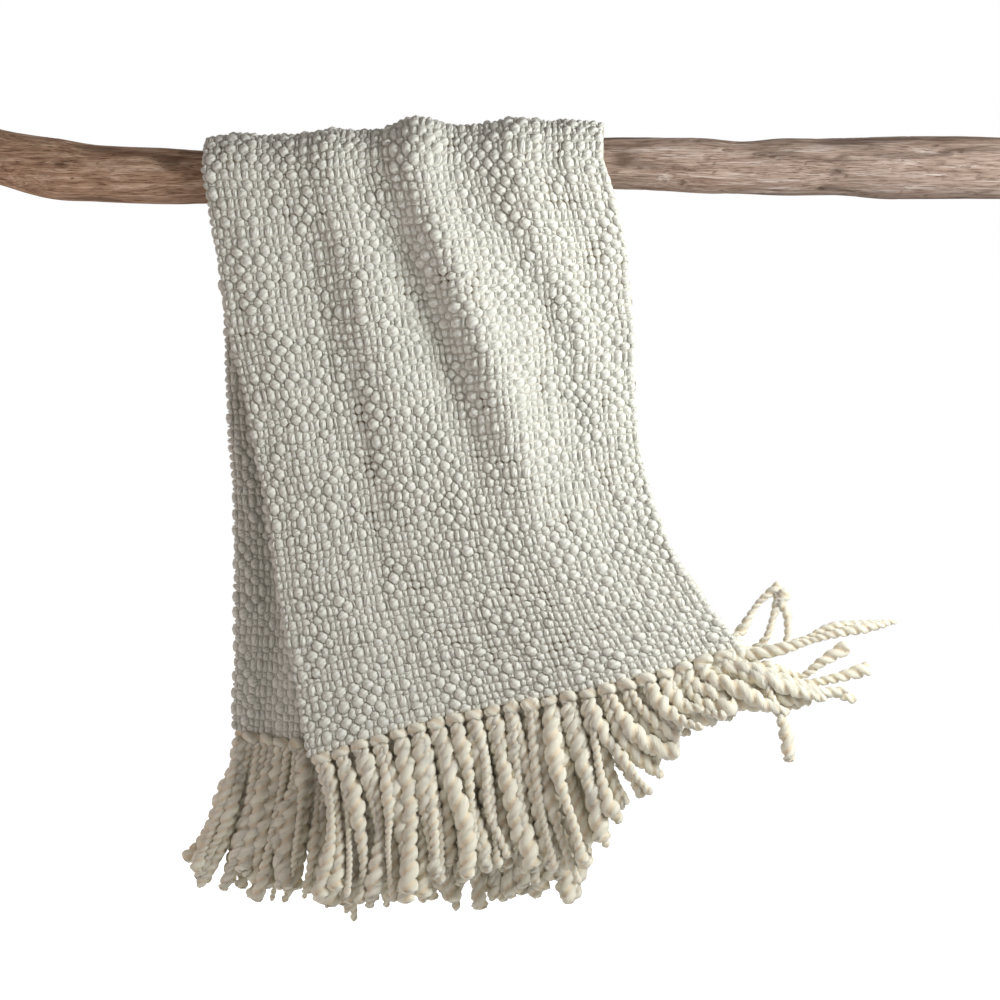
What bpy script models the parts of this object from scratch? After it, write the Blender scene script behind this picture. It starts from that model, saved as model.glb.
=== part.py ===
"""A fringed wool throw, folded in half along its length and hung over a driftwood branch.

The frame: +X runs along the branch to the right, -Y is the side that faces a viewer and +Z is up.
The origin is the middle of the branch's left sawn end. Lengths are in metres.

The throw is one sheet. Its section goes from one selvedge along the outer layer to the fold, round
the fold, and back along the inner layer to the other selvedge. That section travels from the front
hem up to the branch, over it, and down to the back hem. A knotted strip with its strands of yarn is
seated on each hem.
"""

import math

import bmesh
import bpy
import numpy as np

# The branch, sawn square at both ends
BRANCH_LENGTH = 1.304
BRANCH_SIDES = 16
BRANCH_RINGS = 33
BRANCH_LUMP = 0.045  # how far its section departs from round, as a share of the radius
BRANCH = {
    "columns": ("station", "rise", "fore", "thick"),
    "rows": (
        (0.000, 0.000, 0.000, 0.071),
        (0.037, -0.012, 0.002, 0.071),
        (0.112, -0.028, 0.004, 0.079),
        (0.150, -0.032, 0.003, 0.074),
        (0.225, -0.035, 0.000, 0.073),
        (0.282, -0.037, 0.000, 0.066),
        (0.529, -0.028, 0.000, 0.064),
        (0.768, -0.020, 0.000, 0.063),
        (0.829, -0.020, 0.000, 0.066),
        (0.909, -0.024, -0.002, 0.071),
        (0.947, -0.026, -0.003, 0.067),
        (0.995, -0.025, -0.003, 0.072),
        (1.070, -0.024, 0.000, 0.072),
        (1.125, -0.025, 0.003, 0.077),
        (1.175, -0.025, 0.005, 0.077),
        (1.267, -0.026, 0.003, 0.076),
        (1.304, -0.026, 0.002, 0.075),
    ),
}

# The cloth: two layers of a thick woven sheet
CLOTH = 0.0072
LAYER_GAP = 0.0025
LAYER_OFFSET = (CLOTH + LAYER_GAP) / 2  # from the middle of the stack to the middle of a layer
STACK_HALF = LAYER_OFFSET + CLOTH / 2
FOLD_STATION = 0.297  # where the fold crosses the branch
SELVEDGE_STATION = 0.778  # where the two selvedges cross it
SEAT_GAP = 0.0006  # between the branch's top and the cloth that lies on it
SIDE_GAP = 0.0020  # between the branch's sides and the cloth

# How each panel hangs: the fold's and the selvedges' way from the branch to the hem
PANEL_COLUMNS = ("share", "fold_x", "fold_drop", "fold_out", "selvedge_x", "selvedge_drop", "selvedge_out")
FRONT_PANEL = {
    "columns": PANEL_COLUMNS,
    "rows": (
        (0.000, 0.000, 0.000, 0.000, 0.000, 0.000, 0.000),
        (0.125, 0.016, 0.095, -0.003, 0.023, 0.081, -0.002),
        (0.250, 0.030, 0.184, -0.007, 0.034, 0.158, -0.007),
        (0.375, 0.050, 0.272, -0.011, 0.038, 0.236, -0.011),
        (0.500, 0.067, 0.361, -0.014, 0.041, 0.315, -0.012),
        (0.625, 0.082, 0.449, -0.016, 0.053, 0.391, -0.008),
        (0.750, 0.095, 0.538, -0.017, 0.080, 0.465, 0.000),
        (0.875, 0.112, 0.624, -0.016, 0.121, 0.530, 0.010),
        (1.000, 0.126, 0.710, -0.014, 0.165, 0.591, 0.020),
    ),
}
BACK_PANEL = {
    "columns": PANEL_COLUMNS,
    "rows": (
        (0.000, 0.000, 0.000, 0.000, 0.000, 0.000, 0.000),
        (0.125, 0.011, 0.085, 0.000, 0.001, 0.089, 0.000),
        (0.250, 0.018, 0.171, -0.001, 0.001, 0.178, -0.002),
        (0.375, 0.021, 0.256, -0.003, -0.001, 0.266, -0.004),
        (0.500, 0.027, 0.341, -0.005, -0.004, 0.355, -0.006),
        (0.625, 0.031, 0.427, -0.006, -0.008, 0.444, -0.006),
        (0.750, 0.032, 0.512, -0.006, -0.012, 0.533, -0.004),
        (0.875, 0.031, 0.598, -0.004, -0.017, 0.621, 0.000),
        (1.000, 0.027, 0.683, 0.000, -0.022, 0.710, 0.006),
    ),
}
FRONT_HEM_SWING = -0.007  # the front hem rises, then dips, across its width
BACK_HEM_BOW = 0.017  # the back hem hangs lower in the middle

# Soft folds: where each crosses the branch and where it ends, across the width from the fold's edge
# (0) to the selvedges (1). A height below zero is a trough.
FOLD_COLUMNS = ("top", "low", "reach", "height", "width")
FRONT_FOLDS = {
    "columns": FOLD_COLUMNS,
    "rows": (
        (0.06, 0.10, 0.50, 0.0045, 0.060),
        (0.22, 0.26, 0.90, -0.0050, 0.070),
        (0.31, 0.36, 0.60, 0.0060, 0.055),
        (0.43, 0.54, 0.52, -0.0125, 0.066),
        (0.53, 0.69, 0.64, 0.0155, 0.072),
        (0.69, 0.84, 0.50, -0.0050, 0.055),
        (0.78, 0.94, 0.60, 0.0060, 0.060),
        (0.93, 0.99, 0.40, 0.0040, 0.055),
        (1.02, 1.04, 0.75, -0.0340, 0.280),
    ),
}
BACK_FOLDS = {
    "columns": FOLD_COLUMNS,
    "rows": (
        (0.08, 0.10, 1.20, 0.0060, 0.045),
        (0.19, 0.20, 1.10, -0.0060, 0.050),
        (0.35, 0.32, 0.90, 0.0060, 0.070),
        (0.52, 0.50, 0.80, -0.0050, 0.060),
        (0.68, 0.72, 1.00, 0.0070, 0.070),
        (0.88, 0.86, 0.90, -0.0050, 0.060),
    ),
}
HEM_WAVE = 0.0050  # the last sway of the cloth at each hem
HEM_WAVES = 1.6

# How finely the sheet is drawn
COLUMNS_ACROSS = 17
FRONT_ROWS = 16
ARC_ROWS = 8  # the branch has twice as many sides, so the cloth lies flat on its facets
BACK_ROWS = 13
FOLD_TURNS = (40.0, 90.0, 140.0)

# The fringe: a strip of knots under each hem, and its strands of yarn
SEAM_GAP = 0.0004
STRIP_HEIGHT = 0.0105
STRIP_THICKNESS = 0.0082
STRANDS_A_LAYER = 45
ROOT_SHARE = 0.60  # of the pitch from strand to strand
STRAND_LENGTH = 0.182
STRAND_RINGS = 3
BENT_STRAND_RINGS = 4
STRAND_WIDTH = 0.0072
STRAND_SHAPE = (1.0, 1.12, 0.95, 0.72)  # root, upper part, lower part and tip, as shares of the width
# Which way the strands end, in degrees from straight down towards +X, in the outer and the inner layer,
# how far they splay from each other, how far every second one hangs in front of its neighbours, and how
# long they are as a share of the whole length: those that curl up reach less far
LEAN_COLUMNS = ("across", "outer", "inner", "splay", "stagger", "reach")
FRONT_LEAN = {
    "columns": LEAN_COLUMNS,
    "rows": (
        (0.00, -12.0, -10.0, 0.10, 0.0035, 1.00),
        (0.15, -4.0, -6.0, 0.08, 0.0035, 1.00),
        (0.40, 0.0, 0.0, 0.08, 0.0035, 1.00),
        (0.58, 8.0, 8.0, 0.12, 0.0035, 1.00),
        (0.66, 28.0, 26.0, 0.20, 0.0035, 0.90),
        (0.72, 52.0, 50.0, 0.28, 0.0035, 0.80),
        (0.78, 64.0, 64.0, 0.30, 0.0035, 0.74),
        (0.85, 72.0, 74.0, 0.32, 0.0035, 0.72),
        (0.93, 82.0, 90.0, 0.36, 0.0035, 0.72),
        (1.00, 96.0, 126.0, 0.50, 0.0035, 0.72),
    ),
}
BACK_LEAN = {
    "columns": LEAN_COLUMNS,
    "rows": (
        (0.00, -34.0, -26.0, 0.12, 0.0035, 1.00),
        (0.12, -22.0, -16.0, 0.10, 0.0035, 1.00),
        (0.30, -8.0, -4.0, 0.08, 0.0035, 1.00),
        (0.60, -2.0, 0.0, 0.08, 0.0035, 1.00),
        (1.00, -4.0, -2.0, 0.10, 0.0035, 1.00),
    ),
}


def column(table, name):
    """One named column of a table."""
    place = table["columns"].index(name)
    return np.array([row[place] for row in table["rows"]])


def read(table, key, name, at):
    """A table's column, read at each place by a smooth curve through its rows."""
    keys, values = column(table, key), column(table, name)
    slopes = np.gradient(values, keys)
    at = np.clip(at, keys[0], keys[-1])
    i = np.clip(np.searchsorted(keys, at) - 1, 0, len(keys) - 2)
    span = keys[i + 1] - keys[i]
    f = (at - keys[i]) / span
    start = (2 * f**3 - 3 * f**2 + 1) * values[i] + (f**3 - 2 * f**2 + f) * span * slopes[i]
    end = (3 * f**2 - 2 * f**3) * values[i + 1] + (f**3 - f**2) * span * slopes[i + 1]
    return start + end


def ease(low, high, at):
    """0 below low, 1 above high, and a smooth step between."""
    f = np.clip((at - low) / (high - low), 0.0, 1.0)
    return f * f * (3 - 2 * f)


def unit(vectors):
    """Vectors of length 1."""
    return vectors / np.linalg.norm(vectors, axis=-1, keepdims=True)


def material(name, colour, roughness):
    """A plain Principled material."""
    made = bpy.data.materials.new(name)
    made.use_nodes = True
    shader = made.node_tree.nodes["Principled BSDF"]
    shader.inputs["Base Color"].default_value = (*colour, 1.0)
    shader.inputs["Roughness"].default_value = roughness
    shader.inputs["Metallic"].default_value = 0.0
    return made


def add_object(name, mesh_builder, finish, smooth_angle):
    """A named object from a bmesh, with its faces turned outward."""
    bmesh.ops.recalc_face_normals(mesh_builder, faces=mesh_builder.faces)
    mesh = bpy.data.meshes.new(name)
    mesh_builder.to_mesh(mesh)
    mesh_builder.free()
    mesh.materials.append(finish)
    mesh.shade_smooth()
    mesh.set_sharp_from_angle(angle=math.radians(smooth_angle))
    made = bpy.data.objects.new(name, mesh)
    bpy.context.collection.objects.link(made)
    return made


def branch_ring(station):
    """The branch's section at a station: round where the cloth lies on it, lumpy elsewhere."""
    rise = read(BRANCH, "station", "rise", station)
    fore = read(BRANCH, "station", "fore", station)
    radius = read(BRANCH, "station", "thick", station) / 2
    before = 1 - ease(FOLD_STATION - 0.09, FOLD_STATION - 0.03, station)
    after = ease(SELVEDGE_STATION + 0.03, SELVEDGE_STATION + 0.09, station)
    lump = BRANCH_LUMP * (before + after)
    ring = []
    for side in range(BRANCH_SIDES):
        turn = 2 * math.pi * side / BRANCH_SIDES
        wave = 0.6 * math.sin(2 * turn + 9 * station) + 0.4 * math.sin(3 * turn - 23 * station)
        reach = radius * (1 + lump * wave)
        ring.append((station, fore - reach * math.cos(turn), rise + reach * math.sin(turn)))
    return ring


def build_branch():
    """The driftwood branch, from rings joined along its length and closed by two flat ends."""
    builder = bmesh.new()
    rings = []
    for station in np.linspace(0.0, BRANCH_LENGTH, BRANCH_RINGS):
        rings.append([builder.verts.new(point) for point in branch_ring(float(station))])
    for ring, following in zip(rings, rings[1:]):
        for side in range(BRANCH_SIDES):
            beside = (side + 1) % BRANCH_SIDES
            builder.faces.new((ring[side], ring[beside], following[beside], following[side]))
    builder.faces.new(rings[0])
    builder.faces.new(rings[-1])
    return add_object("branch", builder, material("driftwood", (0.33, 0.24, 0.17), 0.8), 50.0)


def panel_way(panel, name, across, share):
    """How far a panel has moved at a share of its drop, between its fold and its selvedges."""
    at_fold = read(panel, "share", "fold_" + name, share)
    at_selvedge = read(panel, "share", "selvedge_" + name, share)
    return at_fold * (1 - across) + at_selvedge * across


def folds_height(folds, across, share):
    """How far the soft folds of a panel lift or sink the cloth. Troughs start below the branch."""
    height = np.zeros(np.broadcast(across, share).shape)
    for top, low, reach, rise, width in folds["rows"]:
        line = top + (low - top) * ease(0.0, reach, share)
        fade = 1 - ease(0.5 * reach, 1.3 * reach, share)
        start = ease(0.04, 0.16, share) if rise < 0 else 1.0
        height = height + rise * np.exp(-(((across - line) / width) ** 2)) * fade * start
    return height


def middle_surface(across, travel):
    """The middle of the doubled cloth: travel is -1 to 0 up the front, 0 to 1 over the branch, and 1 to
    2 down the back."""
    front, back = np.clip(-travel, 0, 1), np.clip(travel - 1, 0, 1)
    turn = np.clip(travel, 0, 1) * math.pi
    station = FOLD_STATION + (SELVEDGE_STATION - FOLD_STATION) * across
    radius = read(BRANCH, "station", "thick", station) / 2
    clear = SEAT_GAP + (SIDE_GAP - SEAT_GAP) * (1 - np.sin(turn))
    to_front = 1 - ease(0.30, 0.85, np.clip(travel, 0, 1))
    folds = folds_height(FRONT_FOLDS, across, front) * to_front
    folds = folds + folds_height(BACK_FOLDS, across, back) * (1 - to_front)
    folds = folds + HEM_WAVE * np.sin(2 * math.pi * HEM_WAVES * across + 0.6) * front**2
    folds = folds + HEM_WAVE * np.sin(2 * math.pi * HEM_WAVES * across + 2.4) * back**2
    out = panel_way(FRONT_PANEL, "out", across, front) + panel_way(BACK_PANEL, "out", across, back)
    reach = radius + clear + STACK_HALF + folds + out
    drop = panel_way(FRONT_PANEL, "drop", across, front) + panel_way(BACK_PANEL, "drop", across, back)
    drop = drop + FRONT_HEM_SWING * np.sin(2 * math.pi * across) * front**2
    drop = drop + BACK_HEM_BOW * np.sin(math.pi * across) * back**2
    x = station + panel_way(FRONT_PANEL, "x", across, front) + panel_way(BACK_PANEL, "x", across, back)
    y = -np.cos(turn) * reach
    z = read(BRANCH, "station", "rise", station) + np.sin(turn) * reach - drop
    return np.stack(np.broadcast_arrays(x, y, z), axis=-1)


def cloth_frames():
    """For each row and each place of the folded section: the middle surface's point, and the directions
    that face out of the cloth, along the section, and up the front."""
    across = np.linspace(0.0, 1.0, COLUMNS_ACROSS)[None, :]
    up_front = np.linspace(-1.0, 0.0, FRONT_ROWS + 1)
    over = np.linspace(0.0, 1.0, ARC_ROWS + 1)[1:]
    down_back = np.linspace(1.0, 2.0, BACK_ROWS + 1)[1:]
    travel = np.concatenate((up_front, over, down_back))[:, None]
    middle = middle_surface(across, travel)
    sideways = unit(np.gradient(middle, axis=1))
    outward = unit(np.cross(sideways, np.gradient(middle, axis=0)))
    last = COLUMNS_ACROSS - 1
    places = [(c, 0.0) for c in range(last, -1, -1)]
    places += [(0, turn) for turn in FOLD_TURNS]
    places += [(c, 180.0) for c in range(COLUMNS_ACROSS)]
    picked = [c for c, turn in places]
    turns = np.radians([turn for c, turn in places])[None, :, None]
    facing = outward[:, picked] * np.cos(turns) - sideways[:, picked] * np.sin(turns)
    hemward = np.cross(sideways, outward)[:, picked]
    return middle[:, picked], facing, hemward


def add_cell(builder, corners, first_diagonal):
    """Two triangles, cut the same way in both layers, so that the layers stay apart."""
    a, b, c, d = corners
    if first_diagonal:
        builder.faces.new((a, b, c))
        builder.faces.new((a, c, d))
    else:
        builder.faces.new((a, b, d))
        builder.faces.new((b, c, d))


def build_throw(points, facing):
    """The folded and draped sheet: both faces of its section along every row, closed at its edges."""
    builder = bmesh.new()
    faces = []
    for side in (1, -1):
        grid = points + facing * (LAYER_OFFSET + side * CLOTH / 2)
        faces.append([[builder.verts.new(p) for p in row] for row in grid])
    rows, places = len(faces[0]), len(faces[0][0])
    for grid in faces:
        for r in range(rows - 1):
            for c in range(places - 1):
                corners = (grid[r][c], grid[r][c + 1], grid[r + 1][c + 1], grid[r + 1][c])
                add_cell(builder, corners, c < places // 2)
    outer, inner = faces
    for r in (0, rows - 1):
        for c in range(places - 1):
            builder.faces.new((outer[r][c], outer[r][c + 1], inner[r][c + 1], inner[r][c]))
    for c in (0, places - 1):
        for r in range(rows - 1):
            builder.faces.new((outer[r][c], outer[r + 1][c], inner[r + 1][c], inner[r][c]))
    return add_object("throw", builder, material("ivory_wool", (0.78, 0.75, 0.68), 0.95), 60.0)


def strand_roots():
    """Where the strands leave a strip, as a start and an end along the section's places, each with its
    place across the width and its layer (1 outer, -1 inner, 0 on the fold)."""
    last = COLUMNS_ACROSS - 1
    after_fold = last + len(FOLD_TURNS) + 1
    half = 0.5 * ROOT_SHARE / STRANDS_A_LAYER
    roots = []
    for k in range(STRANDS_A_LAYER):
        across = 1 - (k + 0.5) / STRANDS_A_LAYER
        roots.append(((1 - across - half) * last, (1 - across + half) * last, across, 1))
    roots.append((last + 1.0, float(after_fold - 1), 0.0, 0))
    for k in range(STRANDS_A_LAYER):
        across = (k + 0.5) / STRANDS_A_LAYER
        start = after_fold + (across - half) * last
        roots.append((start, start + 2 * half * last, across, -1))
    return roots


def between(row, place):
    """A row of points or directions, read at a place between two of its entries."""
    low = min(int(place), len(row) - 2)
    return row[low] * (low + 1 - place) + row[low + 1] * (place - low)


def strand_end(lean, across, layer, out_sign):
    """The direction in which a strand ends."""
    name = "inner" if layer < 0 else "outer"
    angle = math.radians(float(read(lean, "across", name, across)))
    splay = float(read(lean, "across", "splay", across)) * (layer if layer else 0.3)
    return unit(np.array((math.sin(angle), out_sign * splay, -math.cos(angle))))


def add_strand(builder, root, start, end, facing, stagger, reach, number):
    """One strand: rings of four corners along a curve that turns from start to end, and a flat tip."""
    corners = [np.array(vert.co) for vert in root]
    centre = sum(corners) / 4
    sideways = corners[1] - corners[0]
    length = STRAND_LENGTH * reach * (1 + 0.07 * math.sin(12.9 * number))
    width = STRAND_WIDTH * (1 + 0.06 * math.sin(7.3 * number))
    steps = BENT_STRAND_RINGS if end[0] > 0.3 else STRAND_RINGS
    before = root
    for step in range(1, steps + 1):
        share = step / steps
        place = centre + length * (start * (share - share**2 / 2) + end * share**2 / 2)
        place = place + facing * stagger * share
        heading = unit(start * (1 - share) + end * share)
        out = unit(facing - heading * float(facing @ heading))
        along = np.cross(heading, out)
        along = along * np.sign(along @ sideways)
        sideways = along
        half = 0.5 * width * float(np.interp(share * 3, (0, 1, 2, 3), STRAND_SHAPE))
        turns = ((-1, 1), (1, 1), (1, -1), (-1, -1))
        ring = [builder.verts.new(place + along * a * half + out * b * half) for a, b in turns]
        for c in range(4):
            n = (c + 1) % 4
            builder.faces.new((before[c], before[n], ring[n], ring[c]))
        before = ring
    builder.faces.new(before)


def build_fringe(name, points, facing, hemward, lean, down_sign, finish):
    """A hem's strip of knots with all its strands: one row of frames gives the strip's whole way."""
    builder = bmesh.new()
    roots = strand_roots()
    last = COLUMNS_ACROSS - 1
    after_fold = last + len(FOLD_TURNS) + 1
    ends = {0.0, float(last), float(after_fold), float(len(points) - 1)}
    stops = sorted({edge for root in roots for edge in root[:2]} | ends)
    starts = {root[0]: (number, root) for number, root in enumerate(roots)}
    strip = []
    for stop in stops:
        point, out, down = (between(row, stop) for row in (points, facing, hemward * down_sign))
        reach = (LAYER_OFFSET + STRIP_THICKNESS / 2, LAYER_OFFSET - STRIP_THICKNESS / 2)
        drops = (SEAM_GAP, SEAM_GAP + STRIP_HEIGHT)
        corners = [point + out * r + down * d for d in drops for r in reach]
        strip.append([builder.verts.new(corner) for corner in corners])
    for stop, here, after in zip(stops, strip, strip[1:]):
        builder.faces.new((here[0], after[0], after[1], here[1]))
        builder.faces.new((here[0], after[0], after[2], here[2]))
        builder.faces.new((here[1], after[1], after[3], here[3]))
        if stop not in starts:
            builder.faces.new((here[2], after[2], after[3], here[3]))
            continue
        number, (low, high, across, layer) = starts[stop]
        middle = (low + high) / 2
        out, down = (unit(between(row, middle)) for row in (facing, hemward * down_sign))
        end = strand_end(lean, across, layer, -down_sign)
        stagger = float(read(lean, "across", "stagger", across))
        stagger = stagger * (-1 if layer and number % 2 else 1)
        reach = float(read(lean, "across", "reach", across))
        root = (here[2], after[2], after[3], here[3])
        add_strand(builder, root, down, end, out, stagger, reach, number)
    builder.faces.new([strip[0][c] for c in (0, 1, 3, 2)])
    builder.faces.new([strip[-1][c] for c in (0, 1, 3, 2)])
    return add_object(name, builder, finish, 40.0)


def clear_scene():
    """Take away whatever the scene starts with."""
    for old in list(bpy.data.objects):
        bpy.data.objects.remove(old, do_unlink=True)


def main():
    """Build the branch, the throw and its two fringes."""
    clear_scene()
    build_branch()
    points, facing, hemward = cloth_frames()
    build_throw(points, facing)
    yarn = material("ivory_fringe", (0.80, 0.76, 0.68), 0.95)
    build_fringe("fringe_front", points[0], facing[0], hemward[0], FRONT_LEAN, 1, yarn)
    build_fringe("fringe_back", points[-1], facing[-1], hemward[-1], BACK_LEAN, -1, yarn)


main()
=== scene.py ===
# %% [markdown]
# # A slub-woven wool throw, hung over a driftwood branch
#
# The throw is hand-woven from very thick yarn, folded in half along its length, and hung over
# the branch by its middle. The yarn is spun thick and thin, so the plain weave looks like rows
# of pebbles. Both hems end in wrapped knots with long twisted strands.
#
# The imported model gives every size. This lesson builds the looks on it: first the studio, then
# the weave on the cloth's own folds, the yarn of the fringe, and the grain of the branch.

import math

import bpy
import numpy as np
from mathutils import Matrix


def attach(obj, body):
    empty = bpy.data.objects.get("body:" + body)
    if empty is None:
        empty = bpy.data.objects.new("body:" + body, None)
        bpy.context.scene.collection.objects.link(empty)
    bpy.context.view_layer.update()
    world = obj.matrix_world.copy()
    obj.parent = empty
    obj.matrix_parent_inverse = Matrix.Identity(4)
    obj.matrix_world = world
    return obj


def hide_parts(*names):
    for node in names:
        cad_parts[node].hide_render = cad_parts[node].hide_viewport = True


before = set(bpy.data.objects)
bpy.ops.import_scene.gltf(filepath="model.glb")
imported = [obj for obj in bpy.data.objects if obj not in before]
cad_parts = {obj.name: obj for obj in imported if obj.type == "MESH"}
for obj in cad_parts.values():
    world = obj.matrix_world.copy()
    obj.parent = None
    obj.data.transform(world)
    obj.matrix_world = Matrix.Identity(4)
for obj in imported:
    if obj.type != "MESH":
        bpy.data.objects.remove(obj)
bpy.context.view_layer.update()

# %% [markdown]
# ## The sizes of the branch and of the draped cloth
#
# A weaver's throw of this kind is about 1.5 m from hem to hem, and its branch 63 to 79 mm
# thick. A modeller could simulate the cloth as it falls. Here tables say how it hangs, because
# then it hangs as in the photograph, and the same each time. The branch comes first: how it
# rises, how far back it lies and how thick it is at each station along it. All lengths are in
# metres.

# %% The branch's table
BRANCH_LENGTH = 1.304
BRANCH_LUMP = 0.045  # how far it is from round, as a share of its radius
BRANCH = {
    "columns": ("station", "rise", "fore", "thick"),
    "rows": (
        (0.000, 0.000, 0.000, 0.071),
        (0.037, -0.012, 0.002, 0.071),
        (0.112, -0.028, 0.004, 0.079),
        (0.150, -0.032, 0.003, 0.074),
        (0.225, -0.035, 0.000, 0.073),
        (0.282, -0.037, 0.000, 0.066),
        (0.529, -0.028, 0.000, 0.064),
        (0.768, -0.020, 0.000, 0.063),
        (0.829, -0.020, 0.000, 0.066),
        (0.909, -0.024, -0.002, 0.071),
        (0.947, -0.026, -0.003, 0.067),
        (0.995, -0.025, -0.003, 0.072),
        (1.070, -0.024, 0.000, 0.072),
        (1.125, -0.025, 0.003, 0.077),
        (1.175, -0.025, 0.005, 0.077),
        (1.267, -0.026, 0.003, 0.076),
        (1.304, -0.026, 0.002, 0.075),
    ),
}
print("the branch is", BRANCH_LENGTH, "m long")

# %% [markdown]
# The two panels hang between the folded edge at the left and the selvedges at the right. Their
# tables say how far both edges have moved sideways, down and outward at each share of the way
# to the hem. The doubled cloth is two layers with a small gap between them.

# %% The panels' tables
CLOTH = 0.0072
LAYER_GAP = 0.0025
LAYER_OFFSET = (CLOTH + LAYER_GAP) / 2
STACK_HALF = LAYER_OFFSET + CLOTH / 2
FOLD_STATION = 0.297
SELVEDGE_STATION = 0.778
SEAT_GAP = 0.0006  # between cloth and branch on its top
SIDE_GAP = 0.0020  # and at its sides
PANEL_COLUMNS = (
    "share", "fold_x", "fold_drop", "fold_out", "selvedge_x", "selvedge_drop", "selvedge_out",
)
FRONT_PANEL = {
    "columns": PANEL_COLUMNS,
    "rows": (
        (0.000, 0.000, 0.000, 0.000, 0.000, 0.000, 0.000),
        (0.125, 0.016, 0.095, -0.003, 0.023, 0.081, -0.002),
        (0.250, 0.030, 0.184, -0.007, 0.034, 0.158, -0.007),
        (0.375, 0.050, 0.272, -0.011, 0.038, 0.236, -0.011),
        (0.500, 0.067, 0.361, -0.014, 0.041, 0.315, -0.012),
        (0.625, 0.082, 0.449, -0.016, 0.053, 0.391, -0.008),
        (0.750, 0.095, 0.538, -0.017, 0.080, 0.465, 0.000),
        (0.875, 0.112, 0.624, -0.016, 0.121, 0.530, 0.010),
        (1.000, 0.126, 0.710, -0.014, 0.165, 0.591, 0.020),
    ),
}
BACK_PANEL = {
    "columns": PANEL_COLUMNS,
    "rows": (
        (0.000, 0.000, 0.000, 0.000, 0.000, 0.000, 0.000),
        (0.125, 0.011, 0.085, 0.000, 0.001, 0.089, 0.000),
        (0.250, 0.018, 0.171, -0.001, 0.001, 0.178, -0.002),
        (0.375, 0.021, 0.256, -0.003, -0.001, 0.266, -0.004),
        (0.500, 0.027, 0.341, -0.005, -0.004, 0.355, -0.006),
        (0.625, 0.031, 0.427, -0.006, -0.008, 0.444, -0.006),
        (0.750, 0.032, 0.512, -0.006, -0.012, 0.533, -0.004),
        (0.875, 0.031, 0.598, -0.004, -0.017, 0.621, 0.000),
        (1.000, 0.027, 0.683, 0.000, -0.022, 0.710, 0.006),
    ),
}
FRONT_HEM_SWING = -0.007
BACK_HEM_BOW = 0.017
print("the cloth hangs between stations", FOLD_STATION, "and", SELVEDGE_STATION)

# %% [markdown]
# Soft folds run down both panels from the branch. Each row is one fold: where it stands across
# the panel at the top and low down, how far down it reaches, how high it rises (a trough is
# below zero), and how wide it is. These and the panels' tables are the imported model's own, but
# for three rows: the front's main ridge is 2 mm higher and a little narrower, and the last two
# raise the cloth a little over the branch.

# %% The folds' tables
FOLD_COLUMNS = ("top", "low", "reach", "height", "width")
FRONT_FOLDS = {
    "columns": FOLD_COLUMNS,
    "rows": (
        (0.06, 0.10, 0.50, 0.0045, 0.060),
        (0.22, 0.26, 0.90, -0.0050, 0.070),
        (0.31, 0.36, 0.60, 0.0060, 0.055),
        (0.43, 0.54, 0.52, -0.0125, 0.066),
        (0.53, 0.69, 0.64, 0.0175, 0.068),
        (0.69, 0.84, 0.50, -0.0050, 0.055),
        (0.78, 0.94, 0.60, 0.0060, 0.060),
        (0.93, 0.99, 0.40, 0.0040, 0.055),
        (1.02, 1.04, 0.75, -0.0340, 0.280),
        (0.20, 0.20, 0.14, 0.0030, 0.180),
        (0.78, 0.80, 0.16, 0.0070, 0.180),
    ),
}
BACK_FOLDS = {
    "columns": FOLD_COLUMNS,
    "rows": (
        (0.08, 0.10, 1.20, 0.0060, 0.045),
        (0.19, 0.20, 1.10, -0.0060, 0.050),
        (0.35, 0.32, 0.90, 0.0060, 0.070),
        (0.52, 0.50, 0.80, -0.0050, 0.060),
        (0.68, 0.72, 1.00, 0.0070, 0.070),
        (0.88, 0.86, 0.90, -0.0050, 0.060),
    ),
}
HEM_WAVE = 0.0050
HEM_WAVES = 1.6
FRONT_WAVE_START, BACK_WAVE_START = 0.6, 2.4
print(len(FRONT_FOLDS["rows"]), "folds in front and", len(BACK_FOLDS["rows"]), "at the back")

# %% [markdown]
# ## The middle of the doubled cloth
#
# One surface stands for the middle of the two layers. Every point of the weave, of the knots
# and of the strands is placed from it: the outer layer lies a little in front of it, and the
# inner layer a little behind. First come the helpers that read a table by a smooth curve
# through its rows.


# %% Reading the tables
def column(table, name):
    """One named column of a table."""
    place = table["columns"].index(name)
    return np.array([row[place] for row in table["rows"]])


def read(table, key, name, at):
    """A table's column, read at each place by a smooth curve through its rows."""
    keys, values = column(table, key), column(table, name)
    slopes = np.gradient(values, keys)
    at = np.clip(at, keys[0], keys[-1])
    i = np.clip(np.searchsorted(keys, at) - 1, 0, len(keys) - 2)
    span = keys[i + 1] - keys[i]
    f = (at - keys[i]) / span
    start = (2 * f**3 - 3 * f**2 + 1) * values[i] + (f**3 - 2 * f**2 + f) * span * slopes[i]
    end = (3 * f**2 - 2 * f**3) * values[i + 1] + (f**3 - f**2) * span * slopes[i + 1]
    return start + end


def ease(low, high, at):
    """0 below low, 1 above high, and a smooth step between."""
    f = np.clip((at - low) / (high - low), 0.0, 1.0)
    return f * f * (3 - 2 * f)


def unit(vectors):
    """Vectors of length 1."""
    return vectors / np.linalg.norm(vectors, axis=-1, keepdims=True)


print("the branch is", read(BRANCH, "station", "thick", 0.5).round(4), "m thick under the cloth")

# %% [markdown]
# Now the surface itself. It goes up the front panel, over the branch in a half circle, and down
# the back panel. The folds fade out towards the hem, where a slow wave takes over.


# %% The draped surface
def panel_way(panel, name, across, share):
    """How far a panel has moved at a share of its drop, between its fold and its selvedges."""
    at_fold = read(panel, "share", "fold_" + name, share)
    at_selvedge = read(panel, "share", "selvedge_" + name, share)
    return at_fold * (1 - across) + at_selvedge * across


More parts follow.
